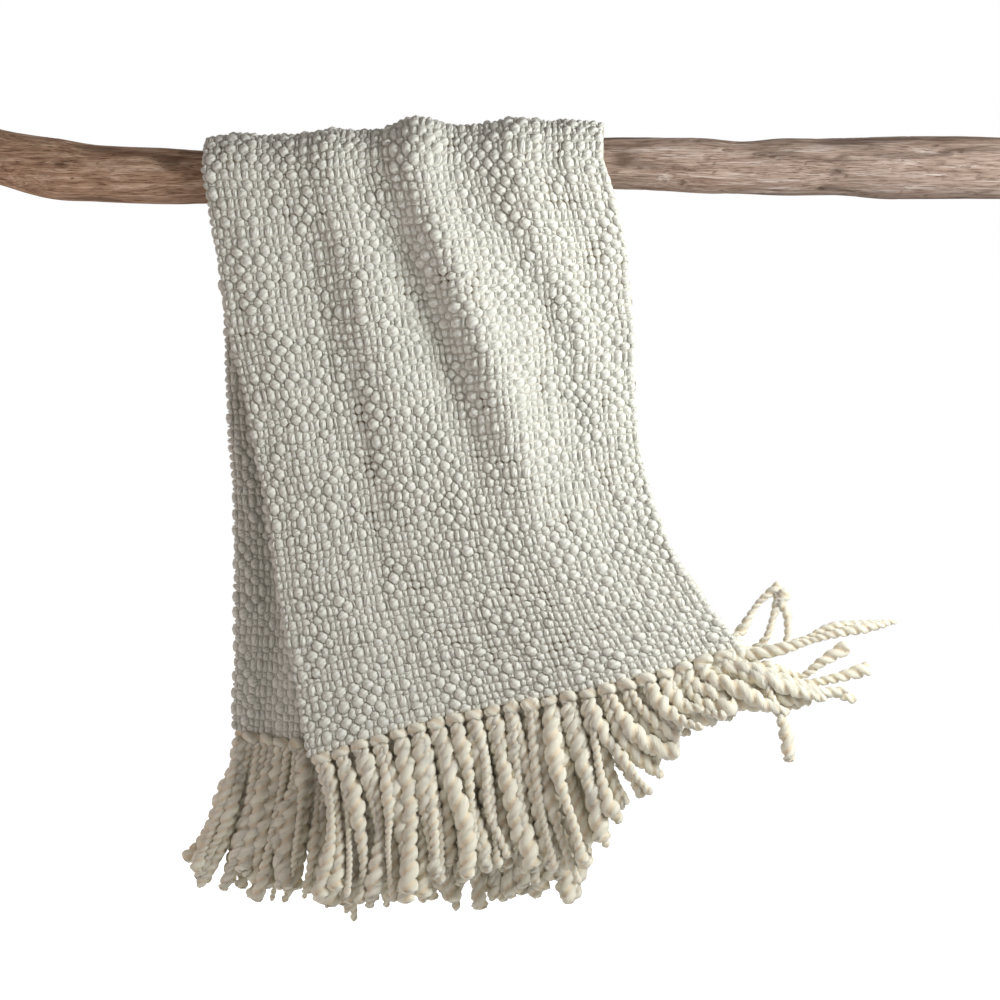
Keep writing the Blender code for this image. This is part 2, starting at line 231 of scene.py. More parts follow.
def folds_height(folds, across, share):
    """How far the soft folds of a panel lift or sink the cloth. Troughs start below the branch."""
    height = np.zeros(np.broadcast(across, share).shape)
    for top, low, reach, rise, width in folds["rows"]:
        line = top + (low - top) * ease(0.0, reach, share)
        fade = 1 - ease(0.5 * reach, 1.3 * reach, share)
        start = ease(0.04, 0.16, share) if rise < 0 else 1.0
        height = height + rise * np.exp(-(((across - line) / width) ** 2)) * fade * start
    return height


def middle_surface(across, travel):
    """The middle of the doubled cloth: travel is -1 to 0 up the front, 0 to 1 over the branch, and
    1 to 2 down the back."""
    front, back = np.clip(-travel, 0, 1), np.clip(travel - 1, 0, 1)
    turn = np.clip(travel, 0, 1) * math.pi
    station = FOLD_STATION + (SELVEDGE_STATION - FOLD_STATION) * across
    radius = read(BRANCH, "station", "thick", station) / 2
    clear = SEAT_GAP + (SIDE_GAP - SEAT_GAP) * (1 - np.sin(turn))
    to_front = 1 - ease(0.30, 0.85, np.clip(travel, 0, 1))
    folds = folds_height(FRONT_FOLDS, across, front) * to_front
    folds = folds + folds_height(BACK_FOLDS, across, back) * (1 - to_front)
    waves = 2 * math.pi * HEM_WAVES * across
    folds = folds + HEM_WAVE * np.sin(waves + FRONT_WAVE_START) * front**2
    folds = folds + HEM_WAVE * np.sin(waves + BACK_WAVE_START) * back**2
    front_x, front_drop, front_out = (
        panel_way(FRONT_PANEL, name, across, front) for name in ("x", "drop", "out")
    )
    back_x, back_drop, back_out = (
        panel_way(BACK_PANEL, name, across, back) for name in ("x", "drop", "out")
    )
    out = front_out + back_out
    reach = radius + clear + STACK_HALF + folds + out
    drop = front_drop + back_drop
    drop = drop + FRONT_HEM_SWING * np.sin(2 * math.pi * across) * front**2
    drop = drop + BACK_HEM_BOW * np.sin(math.pi * across) * back**2
    x = station + front_x + back_x
    y = -np.cos(turn) * reach
    z = read(BRANCH, "station", "rise", station) + np.sin(turn) * reach - drop
    return np.stack(np.broadcast_arrays(x, y, z), axis=-1)


def surface_frames(across, travel):
    """The surface's points, with the directions along its width and out of its outer face."""
    step = 1e-4
    sideways = unit(middle_surface(across + step, travel) - middle_surface(across - step, travel))
    onward = middle_surface(across, travel + step) - middle_surface(across, travel - step)
    return middle_surface(across, travel), sideways, unit(np.cross(sideways, onward))


print("the front hem's left corner:", middle_surface(0.0, -1.0).round(3))

# %% [markdown]
# ## The studio
#
# The photograph is a catalogue picture: a long lens straight on, a white ground, and soft
# light. The camera looks straight along +Y. Its lens is long, so it stands well back and little
# is foreshortened.

# %% Camera
CAMERA_AT = (0.652, -3.5, -0.434)
LENS = 102.44
SENSOR = 36.0


def place_object(name, data, at=(0.0, 0.0, 0.0), turned=(0.0, 0.0, 0.0)):
    """A new object in the scene, at its place and turned."""
    made = bpy.data.objects.new(name, data)
    made.location = at
    made.rotation_euler = turned
    bpy.context.collection.objects.link(made)
    return made


def add_camera():
    """A camera that looks straight along +Y."""
    data = bpy.data.cameras.new("camera")
    data.lens = LENS
    data.sensor_width = SENSOR
    data.dof.use_dof = False
    bpy.context.scene.camera = place_object("camera", data, CAMERA_AT, (math.pi / 2, 0.0, 0.0))


add_camera()
bpy.context.scene.view_settings.view_transform = "Standard"
print("camera at", CAMERA_AT, "with a lens of", LENS, "mm")

# %% [markdown]
# One soft light stands at the right, a little above and in front, so that its light grazes the
# cloth and models the weave. A weak one at the left lifts the shade, and one behind the branch
# shows the back of the throw. A sun would draw hard shadows that the photograph doesn't have.

# %% Lights
# Each light: its name, place, aim, size, power and colour
LIGHTS = (
    ("key", (1.72, -0.66, -0.02), (0.70, 0.0, -0.32), 0.6, 18.8, (0.975, 0.995, 0.985)),
    ("back", (0.20, 2.60, 0.70), (0.60, 0.0, -0.40), 1.6, 38.0, (1.0, 0.98, 0.96)),
    ("fill", (-1.6, -0.9, -0.6), (0.40, 0.0, -0.55), 1.2, 9.3, (1.0, 0.83, 0.79)),
)


def add_area_light(name, place, aim, size, power, colour):
    """A square soft light that points at a place."""
    data = bpy.data.lights.new(name, "AREA")
    data.size = size
    data.energy = power
    data.color = colour
    way = np.array(aim) - np.array(place)
    tilt = math.acos(-way[2] / np.linalg.norm(way))
    place_object(name, data, place, (tilt, 0.0, math.atan2(way[1], way[0]) - math.pi / 2))


for light in LIGHTS:
    add_area_light(*light)
print("lights:", [light[0] for light in LIGHTS])

# %% [markdown]
# A look is a tree of nodes, and every tree is built with the same few helpers. Each input of a
# node gets a value, or it is joined to the output socket of another node.


# %% Helpers for nodes
def fill(tree, target, inputs):
    """Give a node's inputs their values, or join them to other nodes' sockets."""
    for name, value in inputs.items():
        if isinstance(value, bpy.types.NodeSocket):
            tree.links.new(value, target.inputs[name])
        else:
            target.inputs[name].default_value = value


def node(tree, kind, inputs=None, **settings):
    """A new shader node with its settings and its inputs."""
    made = tree.nodes.new("ShaderNode" + kind)
    for name, value in settings.items():
        setattr(made, name, value)
    fill(tree, made, inputs or {})
    return made


def math_node(tree, operation, *sides):
    """A sum in a node tree: each side is a socket or a number."""
    return node(tree, "Math", dict(enumerate(sides)), operation=operation).outputs["Value"]


def smooth_range(tree, value, low, high):
    """0 below low, 1 above high, and a smooth step between."""
    inputs = {"Value": value, "From Min": low, "From Max": high}
    made = node(tree, "MapRange", inputs, interpolation_type="SMOOTHSTEP")
    return made.outputs["Result"]


def mix_colour(tree, share, first, second, blend="MIX"):
    """Two colours mixed by a share: each is a socket or a colour."""
    made = node(tree, "Mix", data_type="RGBA", blend_type=blend)
    for name, value in (("Factor", share), ("A", first), ("B", second)):
        target = [s for s in made.inputs if s.name == name and s.enabled][0]
        if isinstance(value, bpy.types.NodeSocket):
            tree.links.new(value, target)
        else:
            target.default_value = (*value, 1.0) if isinstance(value, tuple) else value
    return [s for s in made.outputs if s.enabled][0]


def new_material(name, inputs):
    """A material with its node tree and its shader, whose inputs get their values."""
    made = bpy.data.materials.new(name)
    made.use_nodes = True
    shader = made.node_tree.nodes["Principled BSDF"]
    fill(made.node_tree, shader, inputs)
    return made, made.node_tree, shader


print("the helpers for nodes are ready")

# %% [markdown]
# The camera sees plain white behind the throw, while all other light that comes from there is
# weak and a little warm. The floor is pale and fades to white away from the middle, so that
# only a soft shadow shows of it.

# %% Ground and floor
AROUND, AROUND_COLOUR = 0.22, (1.0, 0.92, 0.88, 1.0)
WHITE = (1.0, 1.0, 1.0, 1.0)
FLOOR_HEIGHT = -1.15
FLOOR_HALF = 12.0
FLOOR_GREY = (0.82, 0.82, 0.82, 1.0)
FLOOR_FADE = (0.05, 0.60)  # how far from the middle it starts to fade, and where it is white


def add_world():
    """White where the camera looks past the throw, and a weak even light for everything else."""
    world = bpy.data.worlds.new("studio")
    world.use_nodes = True
    tree = world.node_tree
    tree.nodes.clear()
    seen = node(tree, "Background", {"Color": WHITE})
    lit = node(tree, "Background", {"Color": AROUND_COLOUR, "Strength": AROUND})
    camera_ray = node(tree, "LightPath").outputs["Is Camera Ray"]
    shaders = {"Fac": camera_ray, 1: lit.outputs["Background"], 2: seen.outputs["Background"]}
    mix = node(tree, "MixShader", shaders)
    node(tree, "OutputWorld", {"Surface": mix.outputs["Shader"]})
    bpy.context.scene.world = world


def floor_material(middle):
    """Pale grey that shines white to the camera away from a middle."""
    inputs = {"Base Color": FLOOR_GREY, "Roughness": 0.9, "Emission Strength": 1.0}
    made, tree, shader = new_material("pale_floor", inputs)
    where = node(tree, "NewGeometry").outputs["Position"]
    way = node(tree, "VectorMath", {0: where, 1: middle}, operation="SUBTRACT")
    far = node(tree, "VectorMath", {0: way.outputs["Vector"]}, operation="LENGTH")
    fade = smooth_range(tree, far.outputs["Value"], *FLOOR_FADE)
    camera_ray = node(tree, "LightPath").outputs["Is Camera Ray"]
    seen = math_node(tree, "MULTIPLY", fade, camera_ray)
    white = node(tree, "CombineColor", {"Red": seen, "Green": seen, "Blue": seen})
    fill(tree, shader, {"Emission Color": white.outputs["Color"]})
    return made


def add_floor():
    """A wide floor below the fringe."""
    x, y = CAMERA_AT[0], 0.0
    sides = ((-1, -1), (1, -1), (1, 1), (-1, 1))
    corners = [(x + a * FLOOR_HALF, y + b * FLOOR_HALF, FLOOR_HEIGHT) for a, b in sides]
    mesh = bpy.data.meshes.new("floor")
    mesh.from_pydata(corners, [], [(0, 1, 2, 3)])
    mesh.materials.append(floor_material((x, y, FLOOR_HEIGHT)))
    made = place_object("floor", mesh)


add_world()
add_floor()
print("the floor lies", -FLOOR_HEIGHT, "m below the branch's end")

# %% [markdown]
# ## Yarn that is thick and thin
#
# The spinner lets the wool run through the fingers unevenly. A thin thread swells into a soft
# lump, a slub, which lasts for two or three crossings of the weave, and then it is thin again.
# Each end (a yarn that runs down the cloth) and each pick (one that runs across it) gets its
# own thickness along its way. The seeds are fixed, so it is always the same cloth.

# %% How thick each yarn is at each crossing
LAYER_ENDS = 60
FOLD_ENDS = 3
ENDS = 2 * LAYER_ENDS + FOLD_ENDS
FRONT_PICKS = 68
ARC_PICKS = 14
BACK_PICKS = 68
PICKS = FRONT_PICKS + ARC_PICKS + BACK_PICKS
THIN, THICK = 0.50, 1.9
PATCHY = 0.17  # how much whole patches of the cloth are thicker or thinner
USUAL, YARNS_DIFFER, SPUN_UNEVEN = 0.76, 0.07, 0.06
SLUB_SWELL = (0.2, 1.15)
SLUB_SPREAD = (0.7, 2.6)
END_SLUBS, PICK_SLUBS = 4.8, 6.0  # crossings from one slub to the next
PICKS_THINNER = 0.90
END_SEED, PICK_SEED, PATCH_SEED = 11, 23, 7


def lattice_noise(u, v, size_u, size_v, seed):
    """Smooth random values from -1 to 1, which repeat in v after a whole turn."""
    table = np.random.default_rng(seed).uniform(-1, 1, (size_u + 2, size_v))
    u = np.clip(u, 0, 1) * size_u
    v = (v % 1.0) * size_v
    i, j = np.floor(u).astype(int), np.floor(v).astype(int)
    f, g = u - i, v - j
    f, g = f * f * (3 - 2 * f), g * g * (3 - 2 * g)
    j, beside = j % size_v, (j + 1) % size_v
    low = table[i, j] * (1 - g) + table[i, beside] * g
    high = table[i + 1, j] * (1 - g) + table[i + 1, beside] * g
    return low * (1 - f) + high * f


def over_cloth(columns, rows, size_u, size_v, seed):
    """The same kind of noise at every place of a grid over the cloth."""
    down = np.linspace(0, 0.999, rows)  # below 1, where the noise starts again
    u, v = np.meshgrid(np.linspace(0, 1, columns), down, indexing="ij")
    return lattice_noise(u, v, size_u, size_v, seed)


def slub_yarns(count, crossings, spacing, seed):
    """The thickness of each yarn at each crossing, where 1 fills its place in the weave."""
    draw = np.random.default_rng(seed)
    places = np.arange(crossings)
    own = USUAL + YARNS_DIFFER * draw.standard_normal((count, 1))
    yarns = own + np.zeros((count, crossings))
    for yarn in yarns:
        for _ in range(draw.poisson(crossings / spacing)):
            centre, spread = draw.uniform(0, crossings), draw.uniform(*SLUB_SPREAD)
            yarn += draw.uniform(*SLUB_SWELL) * np.exp(-(((places - centre) / spread) ** 2))
    yarns += SPUN_UNEVEN * draw.standard_normal(yarns.shape)
    return yarns


full_patches = 1 + PATCHY * over_cloth(ENDS, PICKS, 15, 17, PATCH_SEED)
warp = slub_yarns(ENDS, PICKS, END_SLUBS, END_SEED) * full_patches
warp = np.clip(warp, THIN, THICK)
weft = slub_yarns(PICKS, ENDS, PICK_SLUBS, PICK_SEED).T * PICKS_THINNER * full_patches
weft = np.clip(weft, THIN, THICK)
print("mean thickness of the ends", warp.mean().round(2), "and of the picks", weft.mean().round(2))

# %% [markdown]
# ## The beads of the weave
#
# In plain weave every crossing shows one yarn on top, an end or a pick by turns. What shows of
# it is a bead: round across, and running down under the neighbours at both ends. A thick yarn
# pushes the thin ones aside and its bead swells over theirs, and where four thin yarns meet a
# small hole is left.
#
# Real yarns could be swept along waves, but that takes far more faces. Here each crossing is a
# small patch of one mesh, and its borders lie in the creases. So the creases stay sharp
# although the mesh is light. The borders are pushed away from the thicker yarn and bow round
# its bead.

# %% How the borders run
PUSH = 0.12  # how far a line gives way to the thicker yarn
BOW = 0.28  # how far it bows round the thicker bead
ROUND_SIDE = 0.12
MOST_SHIFT = 0.36


def line_shifts(thickness):
    """How far each line between two neighbouring yarns is pushed from the thicker one."""
    padded = np.pad(thickness, ((1, 1), (0, 0)), mode="edge")
    return np.clip(PUSH * (padded[:-1] - padded[1:]), -MOST_SHIFT, MOST_SHIFT)


def between_rows(values):
    """Values of the rows, averaged onto the lines between them."""
    padded = np.pad(values, ((0, 0), (1, 1)), mode="edge")
    return (padded[:, :-1] + padded[:, 1:]) / 2


def bows(end_over, ends, picks):
    """How far the border between a crossing and the one before it bows, in crossings: away from
    the thicker of the two yarns on top, and more where that is an end, which the picks pull
    round."""
    before_is_end = end_over[:-1]
    before = np.where(before_is_end, ends[:-1], picks[:-1])
    after = np.where(before_is_end, picks[1:], ends[1:])
    shift = BOW * (before - after) + np.where(before_is_end, ROUND_SIDE, -ROUND_SIDE)
    return np.clip(shift, -MOST_SHIFT, MOST_SHIFT)


print("a border is pushed by up to", MOST_SHIFT, "of a crossing")

# %% [markdown]
# Now the corners where four patches meet, the bows of their borders, and the height of each
# bead. The corners wander a little, because no hand-woven line is straight.

# %% Corners, bows and heights of all crossings
WANDER = 0.30
UNEVEN = 0.09
EDGE_BOW, EDGE_THIN = 0.12, 0.3  # the outermost ends bulge past the edge by their thickness
BEAD_TOP = 0.0029  # how high the bead of a usual yarn stands
BEAD_SWELL = 0.0028  # and how much higher with its thickness
BEAD_USUAL = 0.95
LOWEST, HIGHEST = 0.0016, 0.0058
HOLE_BELOW = float(np.quantile((warp + weft) / 2, 0.20))  # a mean thickness that leaves a hole
HOLE_SOFT = 0.08


def crossing_table():
    """Everything that the patches need, for every crossing."""
    i, j = np.meshgrid(np.arange(ENDS), np.arange(PICKS), indexing="ij")
    end_over = (i + j) % 2 == 0
    upper = np.where(end_over, warp, weft)
    draw = np.random.default_rng(3)
    corner_x = between_rows(line_shifts(warp))
    corner_y = between_rows(line_shifts(weft.T)).T
    for corners, seed in ((corner_x, 71), (corner_y, 72)):
        corners += WANDER * over_cloth(*corners.shape, 26, 30, seed)
        corners += UNEVEN * draw.uniform(-1, 1, corners.shape)
    corner_y[:, [0, -1]] = 0.0
    bow_x = np.zeros((ENDS + 1, PICKS))
    bow_x[1:-1] = bows(end_over, warp, weft)
    bow_x[0] = -EDGE_BOW * (upper[0] - EDGE_THIN)
    bow_x[-1] = EDGE_BOW * (upper[-1] - EDGE_THIN)
    bow_y = np.zeros((ENDS, PICKS + 1))
    bow_y[:, 1:-1] = bows(end_over.T, warp.T, weft.T).T
    full = np.pad(warp + weft, 1, mode="edge") / 2
    around = (full[:-1, :-1] + full[1:, :-1] + full[:-1, 1:] + full[1:, 1:]) / 4
    hole = np.clip((HOLE_BELOW - around) / HOLE_SOFT, 0.0, 1.0)
    top = np.clip(BEAD_TOP + BEAD_SWELL * (upper - BEAD_USUAL), LOWEST, HIGHEST)
    return end_over, corner_x, corner_y, bow_x, bow_y, hole, top


END_OVER, CORNER_X, CORNER_Y, BOW_X, BOW_Y, HOLE, TOP = crossing_table()
print("share of crossings beside a hole:", (HOLE > 0.5).mean().round(2))

# %% [markdown]
# A patch's points are closest together at its borders, where the bead turns down most steeply.
# The patches of a piece are then put side by side on one grid, so that neighbours share their
# border.

# %% The grid of a piece's points
CREASE = -0.0014  # the height of a crease over the middle of its layer
HOLE_DEPTH = 0.0042  # how far below that middle a hole goes
OFF_MIDDLE = 0.13  # how far the top of a bead may stand off its middle
ROUND_ACROSS, ROUND_ALONG = 2.0, 2.4


def even_turns(fine):
    """Places from 0 to 1 that lie closer together at both ends."""
    return (1 - np.cos(math.pi * np.arange(fine + 1) / fine)) / 2


def patch_grid(ends, picks, fine):
    """The grid of a piece: each point's place counted in ends and picks, its height above the
    middle of its layer, how deep it lies in a crease, and the tone of its yarn."""
    first_end, last_end = ends
    first_pick, last_pick = picks
    cells = (slice(first_end, last_end), slice(first_pick, last_pick))
    fine_x, fine_y = fine
    a, b = even_turns(fine_x)[None, None, :, None], even_turns(fine_y)[None, None, None, :]
    x_hat, y_hat = 2 * a - 1, 2 * b - 1

    def spread(corners):
        """Corner values, blended over each patch."""
        part = corners[first_end : last_end + 1, first_pick : last_pick + 1][:, :, None, None]
        low = part[:-1, :-1] * (1 - a) + part[1:, :-1] * a
        high = part[:-1, 1:] * (1 - a) + part[1:, 1:] * a
        return low * (1 - b) + high * b

    i = np.arange(first_end, last_end)[:, None, None, None]
    j = np.arange(first_pick, last_pick)[None, :, None, None]
    bow_x = BOW_X[first_end : last_end + 1, cells[1]][:, :, None, None]
    bow_y = BOW_Y[cells[0], first_pick : last_pick + 1][:, :, None, None]
    draw = np.random.default_rng(5)
    jitter = draw.uniform(-1, 1, (3, ENDS, PICKS))[:, cells[0], cells[1], None, None]
    inside = (1 - x_hat**2) * (1 - y_hat**2)
    bow_x = (bow_x[:-1] * (1 - a) + bow_x[1:] * a) * np.sin(math.pi * b)
    bow_y = (bow_y[:, :-1] * (1 - b) + bow_y[:, 1:] * b) * np.sin(math.pi * a)
    x = i + a + spread(CORNER_X) + bow_x + OFF_MIDDLE * jitter[0] * inside
    y = j + b + spread(CORNER_Y) + bow_y + OFF_MIDDLE * jitter[1] * inside
    over = END_OVER[cells][:, :, None, None]
    across, along = np.where(over, x_hat, y_hat), np.where(over, y_hat, x_hat)
    dome = 1 - np.abs(across) ** ROUND_ACROSS - np.abs(along) ** ROUND_ALONG
    dome = np.sqrt(np.clip(dome, 0, 1))
    in_corner = (x_hat * y_hat) ** 2
    floor = CREASE + (-HOLE_DEPTH * spread(HOLE) - CREASE) * in_corner
    height = floor + (TOP[cells][:, :, None, None] - CREASE) * dome
    # How deep a point lies, which the material turns into painted shade in the creases and holes
    depth = 1 - dome * 0.9 + 1.2 * spread(HOLE) * in_corner
    size = ((last_end - first_end) * fine_x + 1, (last_pick - first_pick) * fine_y + 1)
    grids = []
    for values in (x, y, height, depth, jitter[2]):
        values = np.broadcast_to(values, height.shape)
        grid = np.zeros(size)
        for m in range(fine_x + 1):
            for n in range(fine_y + 1):
                block = values[:, :, m, n]
                last_m, last_n = m + block.shape[0] * fine_x, n + block.shape[1] * fine_y
                grid[m:last_m:fine_x, n:last_n:fine_y] = block
        grids.append(grid)
    return grids


print("a patch's points lie at", even_turns(4).round(2), "of its width")

# %% [markdown]
# The weave counts its places in ends and picks. The first 60 ends make the outer layer, three
# turn round the fold, and the last 60 make the inner layer. Along the picks it goes up the
# front, over the branch, and down the back.


# %% Where a place of the weave lies
def weave_place(ends, picks, height):
    """The point at a number of ends and picks and a height above the layer's middle."""
    fold_start, fold_end = LAYER_ENDS, LAYER_ENDS + FOLD_ENDS
    past_fold = np.clip(ends - fold_end, 0, None) / LAYER_ENDS
    across = np.where(ends < fold_start, 1 - ends / LAYER_ENDS, past_fold)
    turn = np.clip((ends - fold_start) / FOLD_ENDS, 0, 1)[..., None] * math.pi
    over = np.clip(picks - FRONT_PICKS, 0, ARC_PICKS)
    travel = np.minimum(picks, FRONT_PICKS) / FRONT_PICKS - 1 + over / ARC_PICKS
    travel = travel + np.clip(picks - FRONT_PICKS - ARC_PICKS, 0, None) / BACK_PICKS
    middle, sideways, outward = surface_frames(across, travel)
    facing = outward * np.cos(turn) - sideways * np.sin(turn)
    return middle + facing * (LAYER_OFFSET + height)[..., None]


first_place = weave_place(np.zeros(1), np.zeros(1), np.zeros(1))[0]
print("the first end meets the front hem at", first_place.round(3))

# %% [markdown]
# Each piece is closed: its bumpy face, a coarse dull side towards the other layer, and rims
# round the edge. The borders of the patches are marked sharp, so that smooth shading stops at
# every crease. The map says where a point lies across and along its yarn, for the twist that
# the material draws.


# %% Faces, creases and the map of the yarn
def quads(*corners):
    """Faces with four corners, from a grid of numbers for each corner."""
    return np.stack(corners, axis=-1).reshape(-1, 4).tolist()


def weave_faces(columns, rows, fine):
    """The faces of a piece: its bumpy face, its dull side, and the rims that join them."""
    fine_x, fine_y = fine
    shape = (columns * fine_x + 1, rows * fine_y + 1)
    grid = np.arange(shape[0] * shape[1]).reshape(shape)
    dull = grid.size + np.arange((columns + 1) * (rows + 1)).reshape(columns + 1, rows + 1)
    bumpy = quads(grid[:-1, :-1], grid[:-1, 1:], grid[1:, 1:], grid[1:, :-1])
    flat = quads(dull[:-1, :-1], dull[1:, :-1], dull[1:, 1:], dull[:-1, 1:])
    faces = bumpy + flat
    for c in range(columns):
        here = slice(c * fine_x, c * fine_x + fine_x + 1)
        faces.append(grid[here, 0].tolist() + [dull[c + 1, 0], dull[c, 0]])
        faces.append(grid[here, -1].tolist()[::-1] + [dull[c, -1], dull[c + 1, -1]])
    for r in range(rows):
        here = slice(r * fine_y, r * fine_y + fine_y + 1)
        faces.append(grid[0, here].tolist()[::-1] + [dull[0, r], dull[0, r + 1]])
        faces.append(grid[-1, here].tolist() + [dull[-1, r + 1], dull[-1, r]])
    return faces, len(bumpy)


def tell_triangles(name, faces):
    """Print how many triangles a piece has."""
    print(name, "has", sum(len(face) - 2 for face in faces), "triangles")


def add_values(mesh, name, values):
    """A named number for every point of a mesh."""
    layer = mesh.attributes.new(name, "FLOAT", "POINT")
    layer.data.foreach_set("value", np.asarray(values, dtype=np.float32))


def mark_creases(mesh, columns, rows, fine):
    """Keep the borders of the patches and the rims sharp."""
    pairs = np.zeros(len(mesh.edges) * 2, dtype=np.int32)
    mesh.edges.foreach_get("vertices", pairs)
    pairs = pairs.reshape(-1, 2)
    fine_x, fine_y = fine
    per_column = rows * fine_y + 1
    grid_size = (columns * fine_x + 1) * per_column
    on_grid = (pairs < grid_size).all(axis=1)
    c, r = pairs // per_column, pairs % per_column
    along_end = (c[:, 0] == c[:, 1]) & (c[:, 0] % fine_x == 0)
    along_pick = (r[:, 0] == r[:, 1]) & (r[:, 0] % fine_y == 0)
    rim = (pairs < grid_size).any(axis=1) & ~on_grid
    sharp = (on_grid & (along_end | along_pick)) | rim
    layer = mesh.attributes.new("sharp_edge", "BOOLEAN", "EDGE")
    layer.data.foreach_set("value", sharp)


def add_yarn_map(mesh, ends, picks, fine, bumpy_count):
    """A UV map that runs across and along the yarn of each bead."""
    columns, rows = ends[1] - ends[0], picks[1] - picks[0]
    fine_x, fine_y = fine
    shape = (columns * fine_x, rows * fine_y)
    m, n = np.arange(shape[0]), np.arange(shape[1])
    spots_x, spots_y = even_turns(fine_x), even_turns(fine_y)
    low_a, high_a = spots_x[m % fine_x][:, None], spots_x[m % fine_x + 1][:, None]
    low_b, high_b = spots_y[n % fine_y][None, :], spots_y[n % fine_y + 1][None, :]
    a = np.stack([np.broadcast_to(v, shape) for v in (low_a, low_a, high_a, high_a)], axis=-1)
    b = np.stack([np.broadcast_to(v, shape) for v in (low_b, high_b, high_b, low_b)], axis=-1)
    over = END_OVER[ends[0] + m // fine_x][:, picks[0] + n // fine_y][..., None]
    across, along = np.where(over, a, b), np.where(over, b, a)
    values = np.zeros((len(mesh.loops), 2), dtype=np.float32)
    values[: bumpy_count * 4] = np.stack((across, along), axis=-1).reshape(-1, 2)
    mesh.uv_layers.new(name="yarn").data.foreach_set("uv", values.ravel())


print("two patches of 2 by 2 faces make a piece with", len(weave_faces(2, 1, (2, 2))[0]), "faces")

# %% [markdown]
# The cloth is made in four pieces: front and back, each with its outer and inner layer. They
# meet over the branch. The front's outer layer is nearest to the camera, so it has the finest
# patches. The inner layer is pressed between the outer one and the branch, and its beads stand
# less high.

# %% The four pieces of the cloth
DULL_SIDE = 0.0046  # how far the dull side lies below the middle of its layer
# The dull side's depth gives it a little painted crease shade
DULL_DEPTH = 0.8
SELVEDGE_LOWER = 0.0012
PRESSED = 0.72  # how high the inner layer's beads stand, as a share
TURNED = LAYER_ENDS + FOLD_ENDS
OVER = FRONT_PICKS + ARC_PICKS // 2


def add_weave(name, ends, picks, fine, stand=1.0):
    """One closed piece of the cloth between two ends and two picks, whose beads stand so high."""
    x, y, height, depth, tone = patch_grid(ends, picks, fine)
    height = height * stand
    for place, is_selvedge in ((0, ends[0] == 0), (-1, ends[1] == ENDS)):
        if is_selvedge:
            height[place] -= SELVEDGE_LOWER
    bumpy = weave_place(x, y, height).reshape(-1, 3)
    columns, rows = ends[1] - ends[0], picks[1] - picks[0]
    lines = (np.arange(first, last + 1.0) for first, last in (ends, picks))
    i, j = np.meshgrid(*lines, indexing="ij")
    dull = weave_place(i, j, np.full(i.shape, -DULL_SIDE)).reshape(-1, 3)
    faces, bumpy_count = weave_faces(columns, rows, fine)
    mesh = bpy.data.meshes.new(name)
    mesh.from_pydata(np.concatenate((bumpy, dull)).tolist(), [], faces)
    mesh.shade_smooth()
    spare = np.zeros(len(dull))
    add_values(mesh, "depth", np.concatenate((depth.ravel(), spare + DULL_DEPTH)))
    add_values(mesh, "tone", np.concatenate((tone.ravel(), spare)))
    mark_creases(mesh, columns, rows, fine)
    add_yarn_map(mesh, ends, picks, fine, bumpy_count)
    tell_triangles(name, faces)
    return place_object(name, mesh)


front_outer = add_weave("front_outer", (0, TURNED), (0, OVER), (4, 5))
front_inner = add_weave("front_inner", (TURNED, ENDS), (0, OVER), (3, 3), PRESSED)
back_outer = add_weave("back_outer", (0, TURNED), (OVER, PICKS), (4, 4))
back_inner = add_weave("back_inner", (TURNED, ENDS), (OVER, PICKS), (4, 4), PRESSED)

# %% [markdown]
# ## The look of the wool
#
# Each bead is a piece of yarn of two plies, so faint slanting lines cross it, and fine fibres
# lie on it. The lines follow the bead's own map and the fibres are fine noise. One group of
# nodes makes both, for the cloth and for the fringe. Its inputs say how often the plies cross a
# bead and how they slant.

# %% The group of nodes for the plies
GROOVE_SOFT = 0.45
FIBRE_SCALE, FIBRE_DETAIL, FIBRE_SHARE = 900.0, 3.0, 0.55


def ply_group():
    """A group that turns a map of the yarn into the grooves of its two plies and its fibres."""
    group = bpy.data.node_groups.new("plies", "ShaderNodeTree")
    for name, way in (("Lines", "INPUT"), ("Slant", "INPUT"), ("Height", "OUTPUT")):
        group.interface.new_socket(name=name, in_out=way, socket_type="NodeSocketFloat")
    inside = group.nodes.new("NodeGroupInput")
    outside = group.nodes.new("NodeGroupOutput")
    uv = node(group, "UVMap", uv_map="yarn")
    split = node(group, "SeparateXYZ", {0: uv.outputs["UV"]})
    tone = node(group, "Attribute", attribute_name="tone")
    along = math_node(group, "MULTIPLY", split.outputs["Y"], inside.outputs["Lines"])
    slant = math_node(group, "MULTIPLY", split.outputs["X"], inside.outputs["Slant"])
    phase = math_node(group, "ADD", math_node(group, "ADD", along, slant), tone.outputs["Fac"])
    wave = math_node(group, "SINE", math_node(group, "MULTIPLY", phase, math.pi))
    groove = math_node(group, "POWER", math_node(group, "ABSOLUTE", wave), GROOVE_SOFT)
    where = node(group, "TexCoord").outputs["Object"]
    fibre = node(group, "TexNoise", {
        "Vector": where, "Scale": FIBRE_SCALE, "Detail": FIBRE_DETAIL,
    })
    fuzz = math_node(group, "MULTIPLY", fibre.outputs["Fac"], FIBRE_SHARE)
    fill(group, outside, {"Height": math_node(group, "ADD", groove, fuzz)})
    return group


PLIES = ply_group()
print("the group", PLIES.name, "has", len(PLIES.nodes), "nodes")

# %% [markdown]
# Ivory wool scatters the light softly and has no shine. In the creases light has bounced from wool
# to wool and turned warm. A renderer would need many bounces for that, so the depth that each
# point of the mesh carries mixes painted shade in: a deeper and warmer colour in the creases, and
# a dark one in the holes, where shade falls through to the layer behind.

# %% Wool of the cloth
WOOL_LIGHT = (0.890, 0.893, 0.818)
# Painted shade colours: one for the creases, and one for the holes
WOOL_PAINTED_CREASE_SHADE = (0.61, 0.555, 0.43)
WOOL_PAINTED_HOLE_SHADE = (0.13, 0.11, 0.085)
CREASE_RANGE, HOLE_RANGE = (0.45, 1.7), (1.30, 1.95)
TONE_SPREAD, TONE_MEAN = 0.045, 0.965


